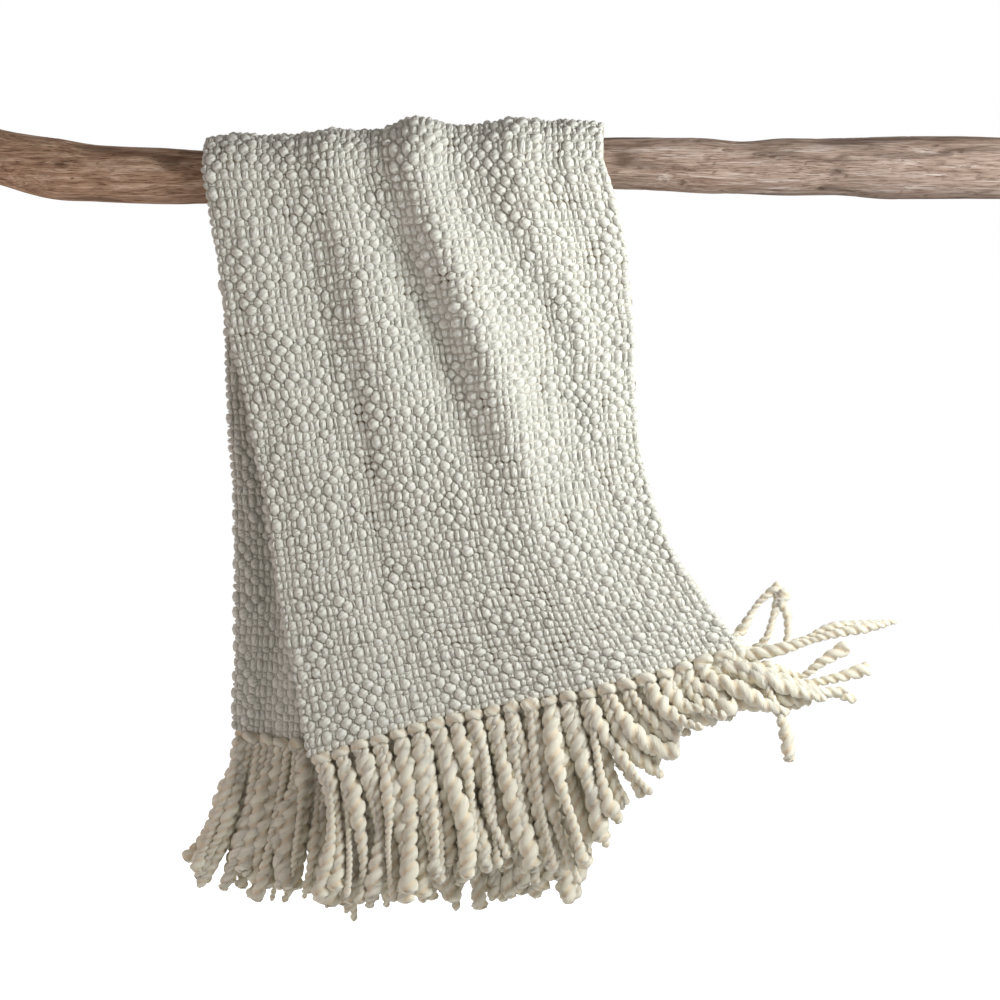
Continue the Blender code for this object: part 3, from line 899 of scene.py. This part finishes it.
def wool_material(name, light, deep, lines, slant, relief, inside):
    """Soft ivory wool with painted shade, warmer and darker the deeper a point lies between the
    yarns. inside is the share of the light that goes through the yarn."""
    made, tree, shader = new_material(name, {
        "Roughness": 0.92,
        "Specular IOR Level": 0.25,
        "Sheen Weight": 0.18,
        "Sheen Roughness": 0.6,
        "Subsurface Weight": inside,
        "Subsurface Radius": (1.0, 0.97, 0.92),
        "Subsurface Scale": 0.008,
    })
    depth = node(tree, "Attribute", attribute_name="depth").outputs["Fac"]
    tone = node(tree, "Attribute", attribute_name="tone").outputs["Fac"]
    # Painted shade: warmer and darker in the creases, and dark in the holes
    shaded = mix_colour(tree, smooth_range(tree, depth, *CREASE_RANGE), light, deep)
    base = mix_colour(tree, smooth_range(tree, depth, *HOLE_RANGE), shaded, WOOL_PAINTED_HOLE_SHADE)
    shade = math_node(tree, "MULTIPLY_ADD", tone, TONE_SPREAD, TONE_MEAN)
    toned = node(tree, "VectorMath", {0: base, "Scale": shade}, operation="SCALE")
    plies = node(tree, "Group", {"Lines": lines, "Slant": slant}, node_tree=PLIES)
    height = plies.outputs["Height"]
    bump = node(tree, "Bump", {"Strength": 0.8, "Distance": relief, "Height": height})
    fill(tree, shader, {
        "Base Color": toned.outputs["Vector"], "Normal": bump.outputs["Normal"],
    })
    return made


WOOL = wool_material("ivory_wool", WOOL_LIGHT, WOOL_PAINTED_CREASE_SHADE, 2.3, 1.0, 0.0012, 0.0)
for piece in (front_outer, front_inner, back_outer, back_inner):
    piece.data.materials.append(WOOL)
print("the cloth's four pieces have their wool")

# %% [markdown]
# ## Twisted yarn for the fringe
#
# A strand is two plies twisted round each other. Its section is a figure of eight that turns
# along the strand, and it turns more often where the strand is thin. Like the yarn of the cloth
# it is thick and thin. The hand that cut it left the ends blunt.
#
# First its diameter along its length: thin, with one to three slubs, and a tuft at the cut end.

# %% The diameter of a strand
THIN_YARN, THICK_YARN = 0.0088, 0.0255
WIDTH_PLACES = 40
OWN_WIDTH = (0.85, 1.4)
SLUB_LENGTH, SLUB_HEIGHT = (0.018, 0.055), (0.30, 1.0)
TUFT, TUFT_FROM, TUFT_FULL = (-0.002, 0.010), 0.028, 0.008


def slub_width(draw, length, thin, thick):
    """A strand's diameter at places along its length."""
    places = np.linspace(0, length, WIDTH_PLACES)
    width = np.full(WIDTH_PLACES, thin * draw.uniform(*OWN_WIDTH))
    for _ in range(draw.integers(1, 4)):
        centre, spread = draw.uniform(0.0, length), draw.uniform(*SLUB_LENGTH)
        swell = (thick - thin) * draw.uniform(*SLUB_HEIGHT)
        width += swell * np.exp(-(((places - centre) / spread) ** 2))
    tuft = draw.uniform(*TUFT)
    width += tuft * ease(length - TUFT_FROM, length - TUFT_FULL, places)
    return places, np.clip(width, thin * OWN_WIDTH[0], thick)


shown = slub_width(np.random.default_rng(0), 0.18, THIN_YARN, THICK_YARN)[1]
print("a strand is", shown.min().round(4), "to", shown.max().round(4), "m thick")

# %% [markdown]
# A curve with a bevel would give the strand one round section. Its turning figure of eight
# needs a mesh instead: rings of points round a path, each ring turned a little further than the
# one before. All the strands of a hem are gathered into one mesh.

# %% Strands of two plies
LOBE = 0.92  # from one ply's bulge to the next along the strand, as a share of its diameter
BLUNT = 0.0055  # the length over which an end is rounded off
WAIST, BULGE, BULGE_SHARP = 0.62, 0.38, 0.6  # the figure of eight
MAP_TURNS = 60  # how often the map repeats along a metre of yarn


class Yarns:
    """Strands gathered into one mesh."""

    def __init__(self):
        self.points, self.faces, self.depth, self.tone, self.maps = [], [], [], [], []
        self.count = 0

    def add(self, path, places, widths, out, shape, draw, lobe=LOBE):
        """Twist one strand along a path. out is a direction that it never runs along, and shape
        says how many points a ring has and how many rings half a twist."""
        sides, steps = shape
        turned, tone = draw.uniform(0, 3), draw.uniform(-1, 1)
        pieces = np.linalg.norm(np.diff(path, axis=0), axis=1)
        lengths = np.concatenate(([0], np.cumsum(pieces)))
        whole = lengths[-1]
        stops = [0.0]
        while stops[-1] < whole:
            width = float(np.interp(stops[-1], places, widths))
            stops.append(stops[-1] + lobe * width / steps)
        stops = np.array(stops)
        turns = turned + np.arange(len(stops)) * math.pi / steps
        stops[-1] = whole
        middle = np.stack([np.interp(stops, lengths, path[:, k]) for k in range(3)], axis=-1)
        heading = unit(np.gradient(middle, axis=0))
        across = unit(out - heading * (heading @ out)[:, None])
        beside = np.cross(heading, across)
        width = np.interp(stops, places, widths)
        from_end = np.clip(np.minimum(stops, whole - stops) / BLUNT, 0.02, 1)
        width = width * np.sqrt(np.clip(1 - (1 - from_end) ** 2, 0.03, 1))
        around = 2 * math.pi * np.arange(sides) / sides
        eight = WAIST + BULGE * np.abs(np.cos(around)) ** BULGE_SHARP
        angle = (around[None, :] + turns[:, None])[..., None]
        reach = 0.5 * width[:, None] * eight[None, :]
        ring = across[:, None] * np.cos(angle) + beside[:, None] * np.sin(angle)
        points = middle[:, None] + ring * reach[..., None]
        rings = len(stops)
        index = self.count + np.arange(rings * sides).reshape(rings, sides)
        after = np.roll(index, -1, axis=1)
        self.faces += quads(index[:-1], after[:-1], after[1:], index[1:])
        self.faces += [index[0, ::-1].tolist(), index[-1].tolist()]
        self.points.append(points.reshape(-1, 3))
        # Deepest in the grooves between the plies, where the material paints shade
        depth = 1.25 - np.abs(np.cos(around))
        self.depth.append(np.broadcast_to(depth, (rings, sides)).ravel())
        self.tone.append(np.full(rings * sides, tone))
        along = np.broadcast_to((stops * MAP_TURNS)[:, None], (rings, sides))
        round_it = np.broadcast_to(around[None, :] / math.pi, (rings, sides))
        self.maps.append(np.stack((round_it, along), axis=-1).reshape(-1, 2))
        self.count += rings * sides

    def make(self, name):
        """The mesh object of all the strands."""
        mesh = bpy.data.meshes.new(name)
        mesh.from_pydata(np.concatenate(self.points).tolist(), [], self.faces)
        mesh.shade_smooth()
        add_values(mesh, "depth", np.concatenate(self.depth))
        add_values(mesh, "tone", np.concatenate(self.tone))
        corner = np.zeros(len(mesh.loops), dtype=np.int32)
        mesh.loops.foreach_get("vertex_index", corner)
        maps = np.concatenate(self.maps).astype(np.float32)[corner]
        mesh.uv_layers.new(name="yarn").data.foreach_set("uv", maps.ravel())
        tell_triangles(name, self.faces)
        return place_object(name, mesh)


print("two bulges of a thin strand lie", round(LOBE * THIN_YARN, 4), "m apart")

# %% [markdown]
# ## The strands of both hems
#
# After weaving, the ends are knotted in pairs along the hem and left about 19 cm long. At the
# left of the front the strands hang straight. Further right the hem rises and its strands are
# flung out to the right. The tables give the angle from straight down in degrees for the outer
# and the inner layer's strands at each place of the hem, how far they splay forward, and their
# length.

# %% How the strands lean
LEAN_COLUMNS = ("across", "outer", "inner", "splay", "reach")
FRONT_LEAN = {
    "columns": LEAN_COLUMNS,
    "rows": (
        (0.00, -12.0, -10.0, 0.10, 1.00),
        (0.15, -4.0, -6.0, 0.08, 1.00),
        (0.40, 3.0, 2.0, 0.08, 1.00),
        (0.58, 22.0, 18.0, 0.12, 1.00),
        (0.645, 36.0, 32.0, 0.16, 0.80),
        (0.70, 76.0, 66.0, 0.24, 0.70),
        (0.77, 82.0, 84.0, 0.34, 0.56),
        (0.82, 98.0, 94.0, 0.40, 0.58),
        (0.87, 96.0, 98.0, 0.40, 0.60),
        (1.00, 98.0, 120.0, 0.50, 0.70),
    ),
}
BACK_LEAN = {
    "columns": LEAN_COLUMNS,
    "rows": (
        (0.00, -34.0, -26.0, 0.12, 1.00),
        (0.12, -22.0, -16.0, 0.10, 1.00),
        (0.30, -8.0, -4.0, 0.08, 1.00),
        (0.60, -2.0, 0.0, 0.08, 1.00),
        (1.00, -4.0, -2.0, 0.10, 1.00),
    ),
}
leans = column(FRONT_LEAN, "outer")
print("the front strands lean by", leans.min(), "to", leans.max(), "degrees")

# %% [markdown]
# At the right corner of the front the strands fan out in all directions, and each can be told from
# the others. So they are placed one by one, each along a few points. Points and diameters are in
# millimetres, and a smooth curve is drawn through the points.

# %% The corner's own strands
CORNER_FROM = 0.87
CORNER_FULL = 1.30
# Each strand: where it leaves the hem, its points after that, and its diameters at even steps
CORNER_STRANDS = (
    (0.995, (
        (941, -37, -600), (949, -37, -588), (964, -40, -562), (981, -42, -546), (995, -40, -538)
    ), (12, 12, 11, 6, 8, 14)),
    (0.985, (
        (958, -40, -617), (975, -44, -602), (984, -46, -575), (992, -44, -548)
    ), (12, 11, 8, 7, 13)),
    (0.965, (
        (960, -38, -620), (988, -40, -618), (1000, -44, -604), (1001, -46, -575),
        (993, -46, -556), (1002, -45, -544)
    ), (12, 12, 11, 7, 10, 15)),
    (0.990, (
        (947, -50, -622), (976, -56, -618), (1014, -62, -608), (1057, -66, -595),
        (1101, -66, -587), (1123, -64, -583)
    ), (14, 14, 13, 7, 10, 12, 5)),
    (0.975, (
        (946, -42, -621), (986, -48, -614), (1023, -50, -602), (1052, -50, -589),
        (1089, -48, -585), (1134, -46, -582)
    ), (12, 11, 10, 7, 11, 8, 5)),
    (0.960, (
        (943, -50, -631), (981, -56, -638), (1015, -60, -647), (1040, -62, -630),
        (1075, -60, -609)
    ), (14, 13, 14, 7, 12, 17)),
    (0.940, (
        (938, -44, -638), (979, -50, -648), (1021, -52, -656), (1061, -52, -649),
        (1102, -50, -637)
    ), (13, 13, 13, 8, 11, 17)),
    (0.950, (
        (940, -58, -640), (984, -66, -656), (1032, -70, -666), (1074, -68, -663)
    ), (12, 13, 17, 14, 8)),
    (0.930, (
        (938, -50, -648), (991, -56, -657), (1046, -58, -666), (1084, -56, -676)
    ), (12, 13, 12, 6, 11)),
    (0.920, (
        (913, -56, -638), (948, -66, -637), (989, -72, -651), (1048, -70, -672)
    ), (14, 15, 16, 16, 12)),
    (0.895, (
        (898, -56, -652), (929, -66, -660), (977, -70, -671), (1028, -66, -678)
    ), (13, 15, 17, 14, 10)),
    (0.970, (
        (947, -56, -635), (967, -76, -644), (979, -82, -672), (995, -78, -710),
        (1001, -72, -750)
    ), (12, 11, 7, 8, 16, 13)),
    (0.880, (
        (894, -50, -665), (925, -56, -677), (979, -60, -684), (1019, -58, -681)
    ), (14, 17, 16, 11, 9)),
    (0.870, (
        (885, -62, -655), (905, -72, -665), (930, -74, -680)
    ), (14, 18, 16, 12)),
    (0.955, (
        (935, -60, -640), (969, -76, -650), (1019, -80, -667), (1045, -78, -674)
    ), (13, 15, 19, 13, 8)),
    (0.845, (
        (875, -58, -668), (900, -66, -690), (921, -62, -691)
    ), (13, 18, 12, 9)),
    (0.910, (
        (905, -66, -648), (940, -80, -662), (975, -84, -682), (1000, -80, -690)
    ), (14, 17, 19, 14, 8)),
)


def smooth_path(corners, count):
    """A smooth curve through a few points."""
    corners = np.array(corners)
    ahead, behind = 2 * corners[-1] - corners[-2], 2 * corners[0] - corners[1]
    all_corners = np.concatenate(([behind], corners, [ahead]))
    at = np.linspace(0, len(corners) - 1, count)
    i = np.minimum(at.astype(int), len(corners) - 2)
    f = (at - i)[:, None]
    p0, p1, p2, p3 = (all_corners[i + k] for k in range(4))
    square, cube = 2 * p0 - 5 * p1 + 4 * p2 - p3, 3 * p1 - p0 - 3 * p2 + p3
    return 0.5 * (2 * p1 + (p2 - p0) * f + square * f**2 + cube * f**3)


print(len(CORNER_STRANDS), "strands of the corner are placed by hand")

# %% [markdown]
# Every strand starts at a knot, falls, and then turns the way that its place leans. It sways a
# little on the way. A wrapped knot is one more piece of yarn, short and thick, laid along the
# hem.

# %% One strand and one knot
SEAM_GAP = 0.0004
STRAND_LENGTH = 0.182
HEM_LENGTH = 0.53
LENGTH_VARIES, ANGLE_SPREAD, SPLAY_VARIES = 0.06, 4.5, (0.3, 1.5)
SWAY, SWAY_BEATS = 0.0045, (0.5, 1.3)
ROOT_OUT, ROOT_DOWN = 0.001, 0.006  # where a strand starts, from the seam on its layer
IN_FRONT_VARIES = 0.002
PATH_POINTS = 60
NECK, WIDENS = 0.0125, 0.50  # the greatest diameter at the knot, and how it grows from there
KNOT_HALF, KNOT_WIDTH = 0.0122, 0.0185
KNOT_OUT, KNOT_DOWN = 0.0012, 0.0045
KNOT_LOBE = 1.3
KNOT_SHAPE = (8, 7)


def hem_frame(across, travel, layer, down_sign):
    """A point on a hem, with the directions out of its layer, down from the hem, and along it."""
    middle, sideways, outward = surface_frames(np.float64(across), np.float64(travel))
    down = unit(np.cross(sideways, outward) * down_sign)
    return middle, outward * layer, down, sideways


def add_strand(yarns, draw, hem, across, root, in_front):
    """One strand of a hem, whose place leans its own way, from its root at a knot."""
    travel, layer, down_sign, lean, shape = hem
    middle, facing, down, sideways = hem_frame(root, travel, layer, down_sign)
    side = "outer" if layer > 0 else "inner"
    angle, splay, reach = (
        float(read(lean, "across", name, across)) for name in (side, "splay", "reach")
    )
    angle = math.radians(angle + draw.normal(0, ANGLE_SPREAD))
    splay = splay * layer * draw.uniform(*SPLAY_VARIES)
    end = unit(np.array((math.sin(angle), -down_sign * splay, -math.cos(angle))))
    length = STRAND_LENGTH * reach * (1 + draw.normal(0, LENGTH_VARIES))
    share = np.linspace(0, 1, PATH_POINTS)[:, None]
    start = middle + facing * (LAYER_OFFSET + ROOT_OUT) + down * (SEAM_GAP + ROOT_DOWN)
    path = start + length * (down * (share - share**2 / 2) + end * share**2 / 2)
    sway, beat = draw.normal(0, SWAY, 2), draw.uniform(*SWAY_BEATS, 2)
    path = path + sideways * sway[0] * np.sin(2 * math.pi * beat[0] * share) * share
    path = path + facing * sway[1] * np.sin(2 * math.pi * beat[1] * share) * share
    path = path + sideways * (across - root) * HEM_LENGTH * np.minimum(share * 1.6, 1)
    in_front = in_front + draw.normal(0, IN_FRONT_VARIES)
    path = path + facing * in_front * np.minimum(share * 2, 1)
    places, widths = slub_width(draw, length, THIN_YARN, THICK_YARN)
    widths = np.minimum(widths, NECK + places * WIDENS)
    yarns.add(path, places, widths, facing, shape, draw)


def add_knot(yarns, draw, hem, across):
    """A wrapped knot that binds two ends: a short thick turn of yarn along the hem."""
    middle, facing, down, sideways = hem_frame(across, *hem[:3])
    half = KNOT_HALF * draw.uniform(0.85, 1.12)
    tilt = draw.normal(0, 0.10)
    centre = middle + facing * (LAYER_OFFSET + KNOT_OUT) + down * (SEAM_GAP + KNOT_DOWN)
    share = np.linspace(-1, 1, 16)[:, None]
    path = centre + sideways * half * share + down * half * (tilt * share + 0.12 * share**2)
    places = np.linspace(0, 2 * half, 9)
    swell = np.sqrt(np.clip(1 - np.linspace(-0.96, 0.96, 9) ** 2, 0, 1))
    widths = KNOT_WIDTH * draw.uniform(0.85, 1.15) * (0.40 + 0.60 * swell)
    yarns.add(path, places, widths, facing, KNOT_SHAPE, draw, KNOT_LOBE)


print("a strand is about", STRAND_LENGTH, "m long, and a knot", 2 * KNOT_HALF, "m")

# %% [markdown]
# Each layer of a hem has its own row of knots and strands. The inner layer's knots stand one
# strand further, so that its strands fill the gaps of the outer one's. A few loose strands lie
# in front of all, as if the throw had just been laid over the branch.

# %% The fringes of both hems
STRANDS = 45
GATHER = 0.45  # how far two strands are drawn together at their knot
STEP_OUT = 0.005  # how far every second strand stands in front of the others
LOOSE_OUT = 0.011  # how far the loose strands stand in front of all
LOOSE_FRONT, LOOSE_BACK = (17, 0.68), (14, 0.40)  # how many there are, and up to where
ROUND, STEPS = ((8, 6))
FRONT_SHAPE, BACK_SHAPE = (ROUND, STEPS), (ROUND, min(STEPS, 5))
NEVER = 2.0  # a place past the hem's end
CORNER_OUT, CORNER_DOWN = 0.004, 0.003


def add_corner_strands(yarns, draw, hem):
    """The strands of the front's right corner, along their own points."""
    forward = np.array((0.0, -1.0, 0.0))
    for across, corners, diameters in CORNER_STRANDS:
        middle, facing, down, _ = hem_frame(across, *hem[:3])
        start = middle + facing * CORNER_OUT + down * CORNER_DOWN
        path = smooth_path((start, *(np.array(corners) / 1000)), PATH_POINTS)
        whole = np.linalg.norm(np.diff(path, axis=0), axis=1).sum()
        places = np.linspace(0, whole, len(diameters))
        widths = np.array(diameters) / 1000 * CORNER_FULL
        yarns.add(path, places, widths, forward, hem[-1], draw)


def add_fringe(name, travel, lean, down_sign, by_hand_from, loose, shape, seed):
    """All knots and strands of one hem. loose says how many more lie in front, and up to where."""
    draw = np.random.default_rng(seed)
    yarns = Yarns()
    for layer in (1, -1):
        hem = (travel, layer, down_sign, lean, shape)
        first, offset = (0, 0.5) if layer > 0 else (1, 0.9)
        for k in range(STRANDS):
            across = (k + offset) / STRANDS
            knot = ((k + first) // 2 * 2 + 1 - first) / STRANDS
            if k % 2 == first and k < STRANDS - 1:
                add_knot(yarns, draw, hem, knot)
            if across > by_hand_from:
                continue
            root = across + GATHER * (min(knot, 0.99) - across)
            in_front = STEP_OUT * (1 if k % 2 else -1)
            add_strand(yarns, draw, hem, across, root, in_front)
    count, up_to = loose
    hem = (travel, down_sign, down_sign, lean, shape)  # the layer that is seen from the camera
    for across in (np.arange(count) + draw.uniform(0.2, 0.8, count)) / count * up_to:
        root = (math.floor(across * STRANDS / 2) * 2 + 1) / STRANDS
        add_strand(yarns, draw, hem, across, root, LOOSE_OUT)
    if by_hand_from < 1:
        add_corner_strands(yarns, draw, hem)
    return yarns.make(name)


fringe_front = add_fringe(
    "fringe_yarns_front", -1.0, FRONT_LEAN, 1, CORNER_FROM, LOOSE_FRONT, FRONT_SHAPE, 31
)
fringe_back = add_fringe(
    "fringe_yarns_back", 2.0, BACK_LEAN, -1, NEVER, LOOSE_BACK, BACK_SHAPE, 47
)

# %% [markdown]
# The fringe is the same wool, but loose in the air: light goes into the yarn and comes out a
# little warmer beside where it went in. So its material lets a third of the light in. The mesh has
# the twist, so the lines that the group of nodes draws run along the strand, as fibres do. The
# grooves between the plies get painted shade, warmer and darker.

# %% Wool of the fringe
YARN_LIGHT = (0.91, 0.872, 0.730)
# Painted shade for the grooves between the plies
YARN_PAINTED_GROOVE_SHADE = (0.86, 0.70, 0.49)
YARN = wool_material("ivory_fringe", YARN_LIGHT, YARN_PAINTED_GROOVE_SHADE, 0.0, 6.0, 0.0004, 0.35)
for piece in (fringe_front, fringe_back):
    piece.data.materials.append(YARN)
print("both fringes have their wool")

# %% [markdown]
# ## The driftwood branch
#
# A branch from the sea or a river has lost its bark. What is left is bare wood with long
# grooves along the grain, small pits, a few knots, and worn pale streaks. They could be bump
# only, but its outline would stay smooth, so the larger ones are in the mesh. Under the cloth
# the branch is round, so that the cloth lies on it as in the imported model.

# %% How deep the wood is worn
WOOD_ROUND, WOOD_LONG = ((80, 340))
# Knots: the station, the turn from the front over the top in radians, the half length, the depth
WOOD_KNOTS = (
    (0.248, 0.35, 0.020, 0.0022),
    (0.116, 0.10, 0.012, 0.0016),
    (0.800, 0.20, 0.022, 0.0012),
    (1.060, -0.30, 0.014, 0.0014),
    (1.195, 0.45, 0.012, 0.0014),
    (0.905, 2.60, 0.016, 0.0016),
)
GRAIN_GROOVE, BROAD_GROOVE, GROOVE_SHARE = 0.0009, 0.0008, 0.6
CRACK = 0.0009
PIT, PITS_UNDER_CLOTH = 0.0012, 0.3
EDGE_CHAMFER, SAWN_EDGE = 0.0012, 0.0016


def worn_wood(station, turn, radius, bare):
    """How deep the skin is worn away, and how dark it is there, at each place of the branch."""
    u, v = station / BRANCH_LENGTH + 0 * turn, turn / (2 * math.pi) + 0 * station
    v = v + 0.02 * np.sin(5 * station) + 0.01 * np.sin(23 * station + 1.0)
    grain = 0.55 * lattice_noise(u, v, 22, 26, 1) + 0.45 * lattice_noise(u, v, 60, 40, 2)
    broad = lattice_noise(u, v, 12, 7, 3)
    groove = GRAIN_GROOVE * (1 - grain) + BROAD_GROOVE * (1 - broad) * bare
    crack = CRACK * ease(0.42, 0.75, lattice_noise(u, v, 16, 22, 4))
    pits = PIT * ease(0.62, 0.9, lattice_noise(u, v, 130, 46, 8))
    sunk = groove * GROOVE_SHARE + crack + pits * (PITS_UNDER_CLOTH + bare)
    dark = crack / CRACK * 0.7 + pits / PIT * 0.6
    for at, way, half, depth in WOOD_KNOTS:
        round_by = (turn - way + math.pi) % (2 * math.pi) - math.pi
        far = ((station - at) / half) ** 2 + (round_by * radius / (half * 0.55)) ** 2
        rim = np.exp(-((np.sqrt(far) - 1.1) ** 2) * 7)
        sunk = sunk + depth * (np.exp(-far * 2.2) - 0.5 * rim)
        dark = dark + 0.9 * np.exp(-far * 1.6)
    sunk = np.clip(sunk, 0.0, None)
    edge = np.minimum(station, BRANCH_LENGTH - station)
    sunk = sunk + EDGE_CHAMFER * np.clip(1 - edge / SAWN_EDGE, 0, 1)
    return sunk, np.clip(dark, 0, 1)


print(len(WOOD_KNOTS), "knots, the longest", 2 * max(knot[2] for knot in WOOD_KNOTS), "m long")

# %% [markdown]
# The skin is a tube of rings along the branch's table. It is lumpy only where it is bare. Its
# two ends are sawn flat and get a look of their own.


# %% The branch's skin
def add_branch():
    """The branch with its two sawn ends."""
    station = np.linspace(0, BRANCH_LENGTH, WOOD_LONG + 1)[:, None]
    turn = (2 * math.pi * np.arange(WOOD_ROUND) / WOOD_ROUND)[None, :]
    rise = read(BRANCH, "station", "rise", station)
    fore = read(BRANCH, "station", "fore", station)
    radius = read(BRANCH, "station", "thick", station) / 2
    before = 1 - ease(FOLD_STATION - 0.09, FOLD_STATION - 0.03, station)
    after = ease(SELVEDGE_STATION + 0.03, SELVEDGE_STATION + 0.09, station)
    bare = before + after
    wave = 0.6 * np.sin(2 * turn + 9 * station) + 0.4 * np.sin(3 * turn - 23 * station)
    sunk, dark = worn_wood(station, turn, radius, bare)
    reach = radius * (1 + BRANCH_LUMP * bare * wave) - sunk
    x = station + 0 * turn
    points = np.stack((x, fore - reach * np.cos(turn), rise + reach * np.sin(turn)), axis=-1)
    index = np.arange(x.size).reshape(x.shape)
    beside = np.roll(index, -1, axis=1)
    faces = quads(index[:-1], beside[:-1], beside[1:], index[1:])
    faces += [index[0, ::-1].tolist(), index[-1].tolist()]
    mesh = bpy.data.meshes.new("driftwood_branch")
    mesh.from_pydata(points.reshape(-1, 3).tolist(), [], faces)
    mesh.shade_smooth()
    mesh.set_sharp_from_angle(angle=math.radians(60))
    add_values(mesh, "dark", dark.ravel())
    sawn = np.zeros(len(faces), dtype=np.int32)
    sawn[-2:] = 1
    mesh.polygons.foreach_set("material_index", sawn)
    tell_triangles("driftwood_branch", faces)
    return place_object("driftwood_branch", mesh)


branch = add_branch()

# %% [markdown]
# ## The look of the wood
#
# The grain runs along the branch, so every pattern is stretched that way. Two helpers make such
# a noise and turn its values into colours.


# %% Helpers for the grain
def stretched_noise(tree, where, along, across, detail, distortion=0.0):
    """Noise that is long along the branch."""
    scale = (along, across, across)
    stretch = node(tree, "Mapping", {"Vector": where, "Scale": scale})
    noise = node(tree, "TexNoise", {
        "Vector": stretch.outputs["Vector"],
        "Scale": 1.0,
        "Detail": detail,
        "Roughness": 0.62,
        "Distortion": distortion,
    })
    return noise.outputs["Fac"]


def ramp(tree, value, stops):
    """A colour ramp through (place, colour) stops."""
    made = node(tree, "ValToRGB", {"Fac": value})
    elements = made.color_ramp.elements
    while len(elements) < len(stops):
        elements.new(0.5)
    for element, (place, colour) in zip(elements, stops):
        element.position = place
        element.color = (*colour, 1.0)
    return made.outputs["Color"]


print("the helpers for the grain are ready")

# %% [markdown]
# Worn ridges are pale, and the grooves, pits and knots are dark. Broad streaks give the base
# colour, fine lines are multiplied over it, and a slow change along the branch makes the left
# stretch browner and paints shade on the right one, which is nearest to the light, so that it
# doesn't turn pale.

# %% Weathered wood
STREAK_COLOURS = (
    (0.34, (0.200, 0.122, 0.080)),
    (0.43, (0.365, 0.255, 0.180)),
    (0.54, (0.490, 0.375, 0.290)),
    (0.64, (0.730, 0.640, 0.560)),
)
LINE_COLOURS = (
    (0.38, (0.40, 0.32, 0.27)),
    (0.50, (1.0, 1.0, 1.0)),
    (0.66, (1.20, 1.19, 1.18)),
)
# Along the branch: a browner tint at the left, and painted shade at the right, which is nearest to
# the light
TINT_AND_PAINTED_SHADE_COLOURS = (
    (0.10, (1.12, 0.94, 0.80)),
    (0.45, (1.00, 0.92, 0.86)),
    (0.68, (0.92, 0.90, 0.92)),
    (0.84, (0.60, 0.585, 0.60)),
)
WOOD_GREY, GREY_SHARE = (0.47, 0.385, 0.330), 0.55
WOOD_DARK, DARK_SHARE = (0.090, 0.052, 0.032), 0.75
LINE_SHARE, LINE_RELIEF = 0.85, 0.8


def wood_material():
    """Bare weathered wood with its grain along X."""
    roughness = {"Roughness": 0.82, "Specular IOR Level": 0.3}
    made, tree, shader = new_material("driftwood", roughness)
    where = node(tree, "TexCoord").outputs["Object"]
    streaks = stretched_noise(tree, where, 9.0, 170.0, 9.0, 0.7)
    fine = stretched_noise(tree, where, 45.0, 800.0, 5.0)
    cloudy = stretched_noise(tree, where, 4.0, 14.0, 3.0)
    base = ramp(tree, streaks, STREAK_COLOURS)
    grey = mix_colour(tree, math_node(tree, "MULTIPLY", cloudy, GREY_SHARE), base, WOOD_GREY)
    lined = mix_colour(tree, LINE_SHARE, grey, ramp(tree, fine, LINE_COLOURS), "MULTIPLY")
    dark = node(tree, "Attribute", attribute_name="dark").outputs["Fac"]
    dark_share = math_node(tree, "MULTIPLY", dark, DARK_SHARE)
    pitted = mix_colour(tree, dark_share, lined, WOOD_DARK)
    x = node(tree, "SeparateXYZ", {0: where}).outputs["X"]
    # The browner tint and the painted shade along the branch
    tint_and_shade = ramp(tree, math_node(tree, "DIVIDE", x, BRANCH_LENGTH), TINT_AND_PAINTED_SHADE_COLOURS)
    height = math_node(tree, "ADD", streaks, math_node(tree, "MULTIPLY", fine, LINE_RELIEF))
    bump = node(tree, "Bump", {"Strength": 0.7, "Distance": 0.0012, "Height": height})
    fill(tree, shader, {
        "Base Color": mix_colour(tree, 1.0, pitted, tint_and_shade, "MULTIPLY"),
        "Normal": bump.outputs["Normal"],
    })
    return made


WOOD = wood_material()
branch.data.materials.append(WOOD)
print("the wood's look has", len(WOOD.node_tree.nodes), "nodes")

# %% [markdown]
# The sawn ends show growth rings. A wave texture draws them round the heart, which lies a
# little off the middle, and its distortion keeps them from being true circles.

# %% End grain
RING_SCALE, RING_DISTORTION, RING_DETAIL = 50.0, 2.0, 2.0
HEART = (0.0, 0.0, 0.010)
RING_COLOURS = (
    (0.2, (0.42, 0.31, 0.205)),
    (0.8, (0.36, 0.255, 0.165)),
)


def end_grain_material():
    """The sawn ends: growth rings round the heart."""
    made, tree, shader = new_material("driftwood_end_grain", {"Roughness": 0.85})
    where = node(tree, "TexCoord").outputs["Object"]
    across = {"Vector": where, "Location": HEART, "Scale": (0.0, 1.0, 1.0)}
    rings = node(tree, "TexWave", {
        "Vector": node(tree, "Mapping", across).outputs["Vector"],
        "Scale": RING_SCALE,
        "Distortion": RING_DISTORTION,
        "Detail": RING_DETAIL,
    }, wave_type="RINGS", rings_direction="SPHERICAL")
    fill(tree, shader, {"Base Color": ramp(tree, rings.outputs["Fac"], RING_COLOURS)})
    return made


branch.data.materials.append(end_grain_material())
print("the branch has", len(branch.data.materials), "looks, its skin and its end grain")

# %% [markdown]
# ## Putting it together
#
# Nothing on the throw moves by itself, so every piece rides on the one body. The four pieces of
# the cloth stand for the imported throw, the yarns for its two fringes, and the wood for the
# branch.

# %% What each piece stands for
for piece, replaced, finish in (
    (front_outer, "throw", "ivory_wool"),
    (front_inner, "throw", "ivory_wool"),
    (back_outer, "throw", "ivory_wool"),
    (back_inner, "throw", "ivory_wool"),
    (fringe_front, "fringe_front", "ivory_fringe"),
    (fringe_back, "fringe_back", "ivory_fringe"),
    (branch, "branch", "driftwood"),
):
    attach(piece, "root")
    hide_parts(replaced)
    print(piece.name, "stands for", replaced)

# %% [markdown]

# %% [markdown]

# %% The end
bpy.context.view_layer.update()
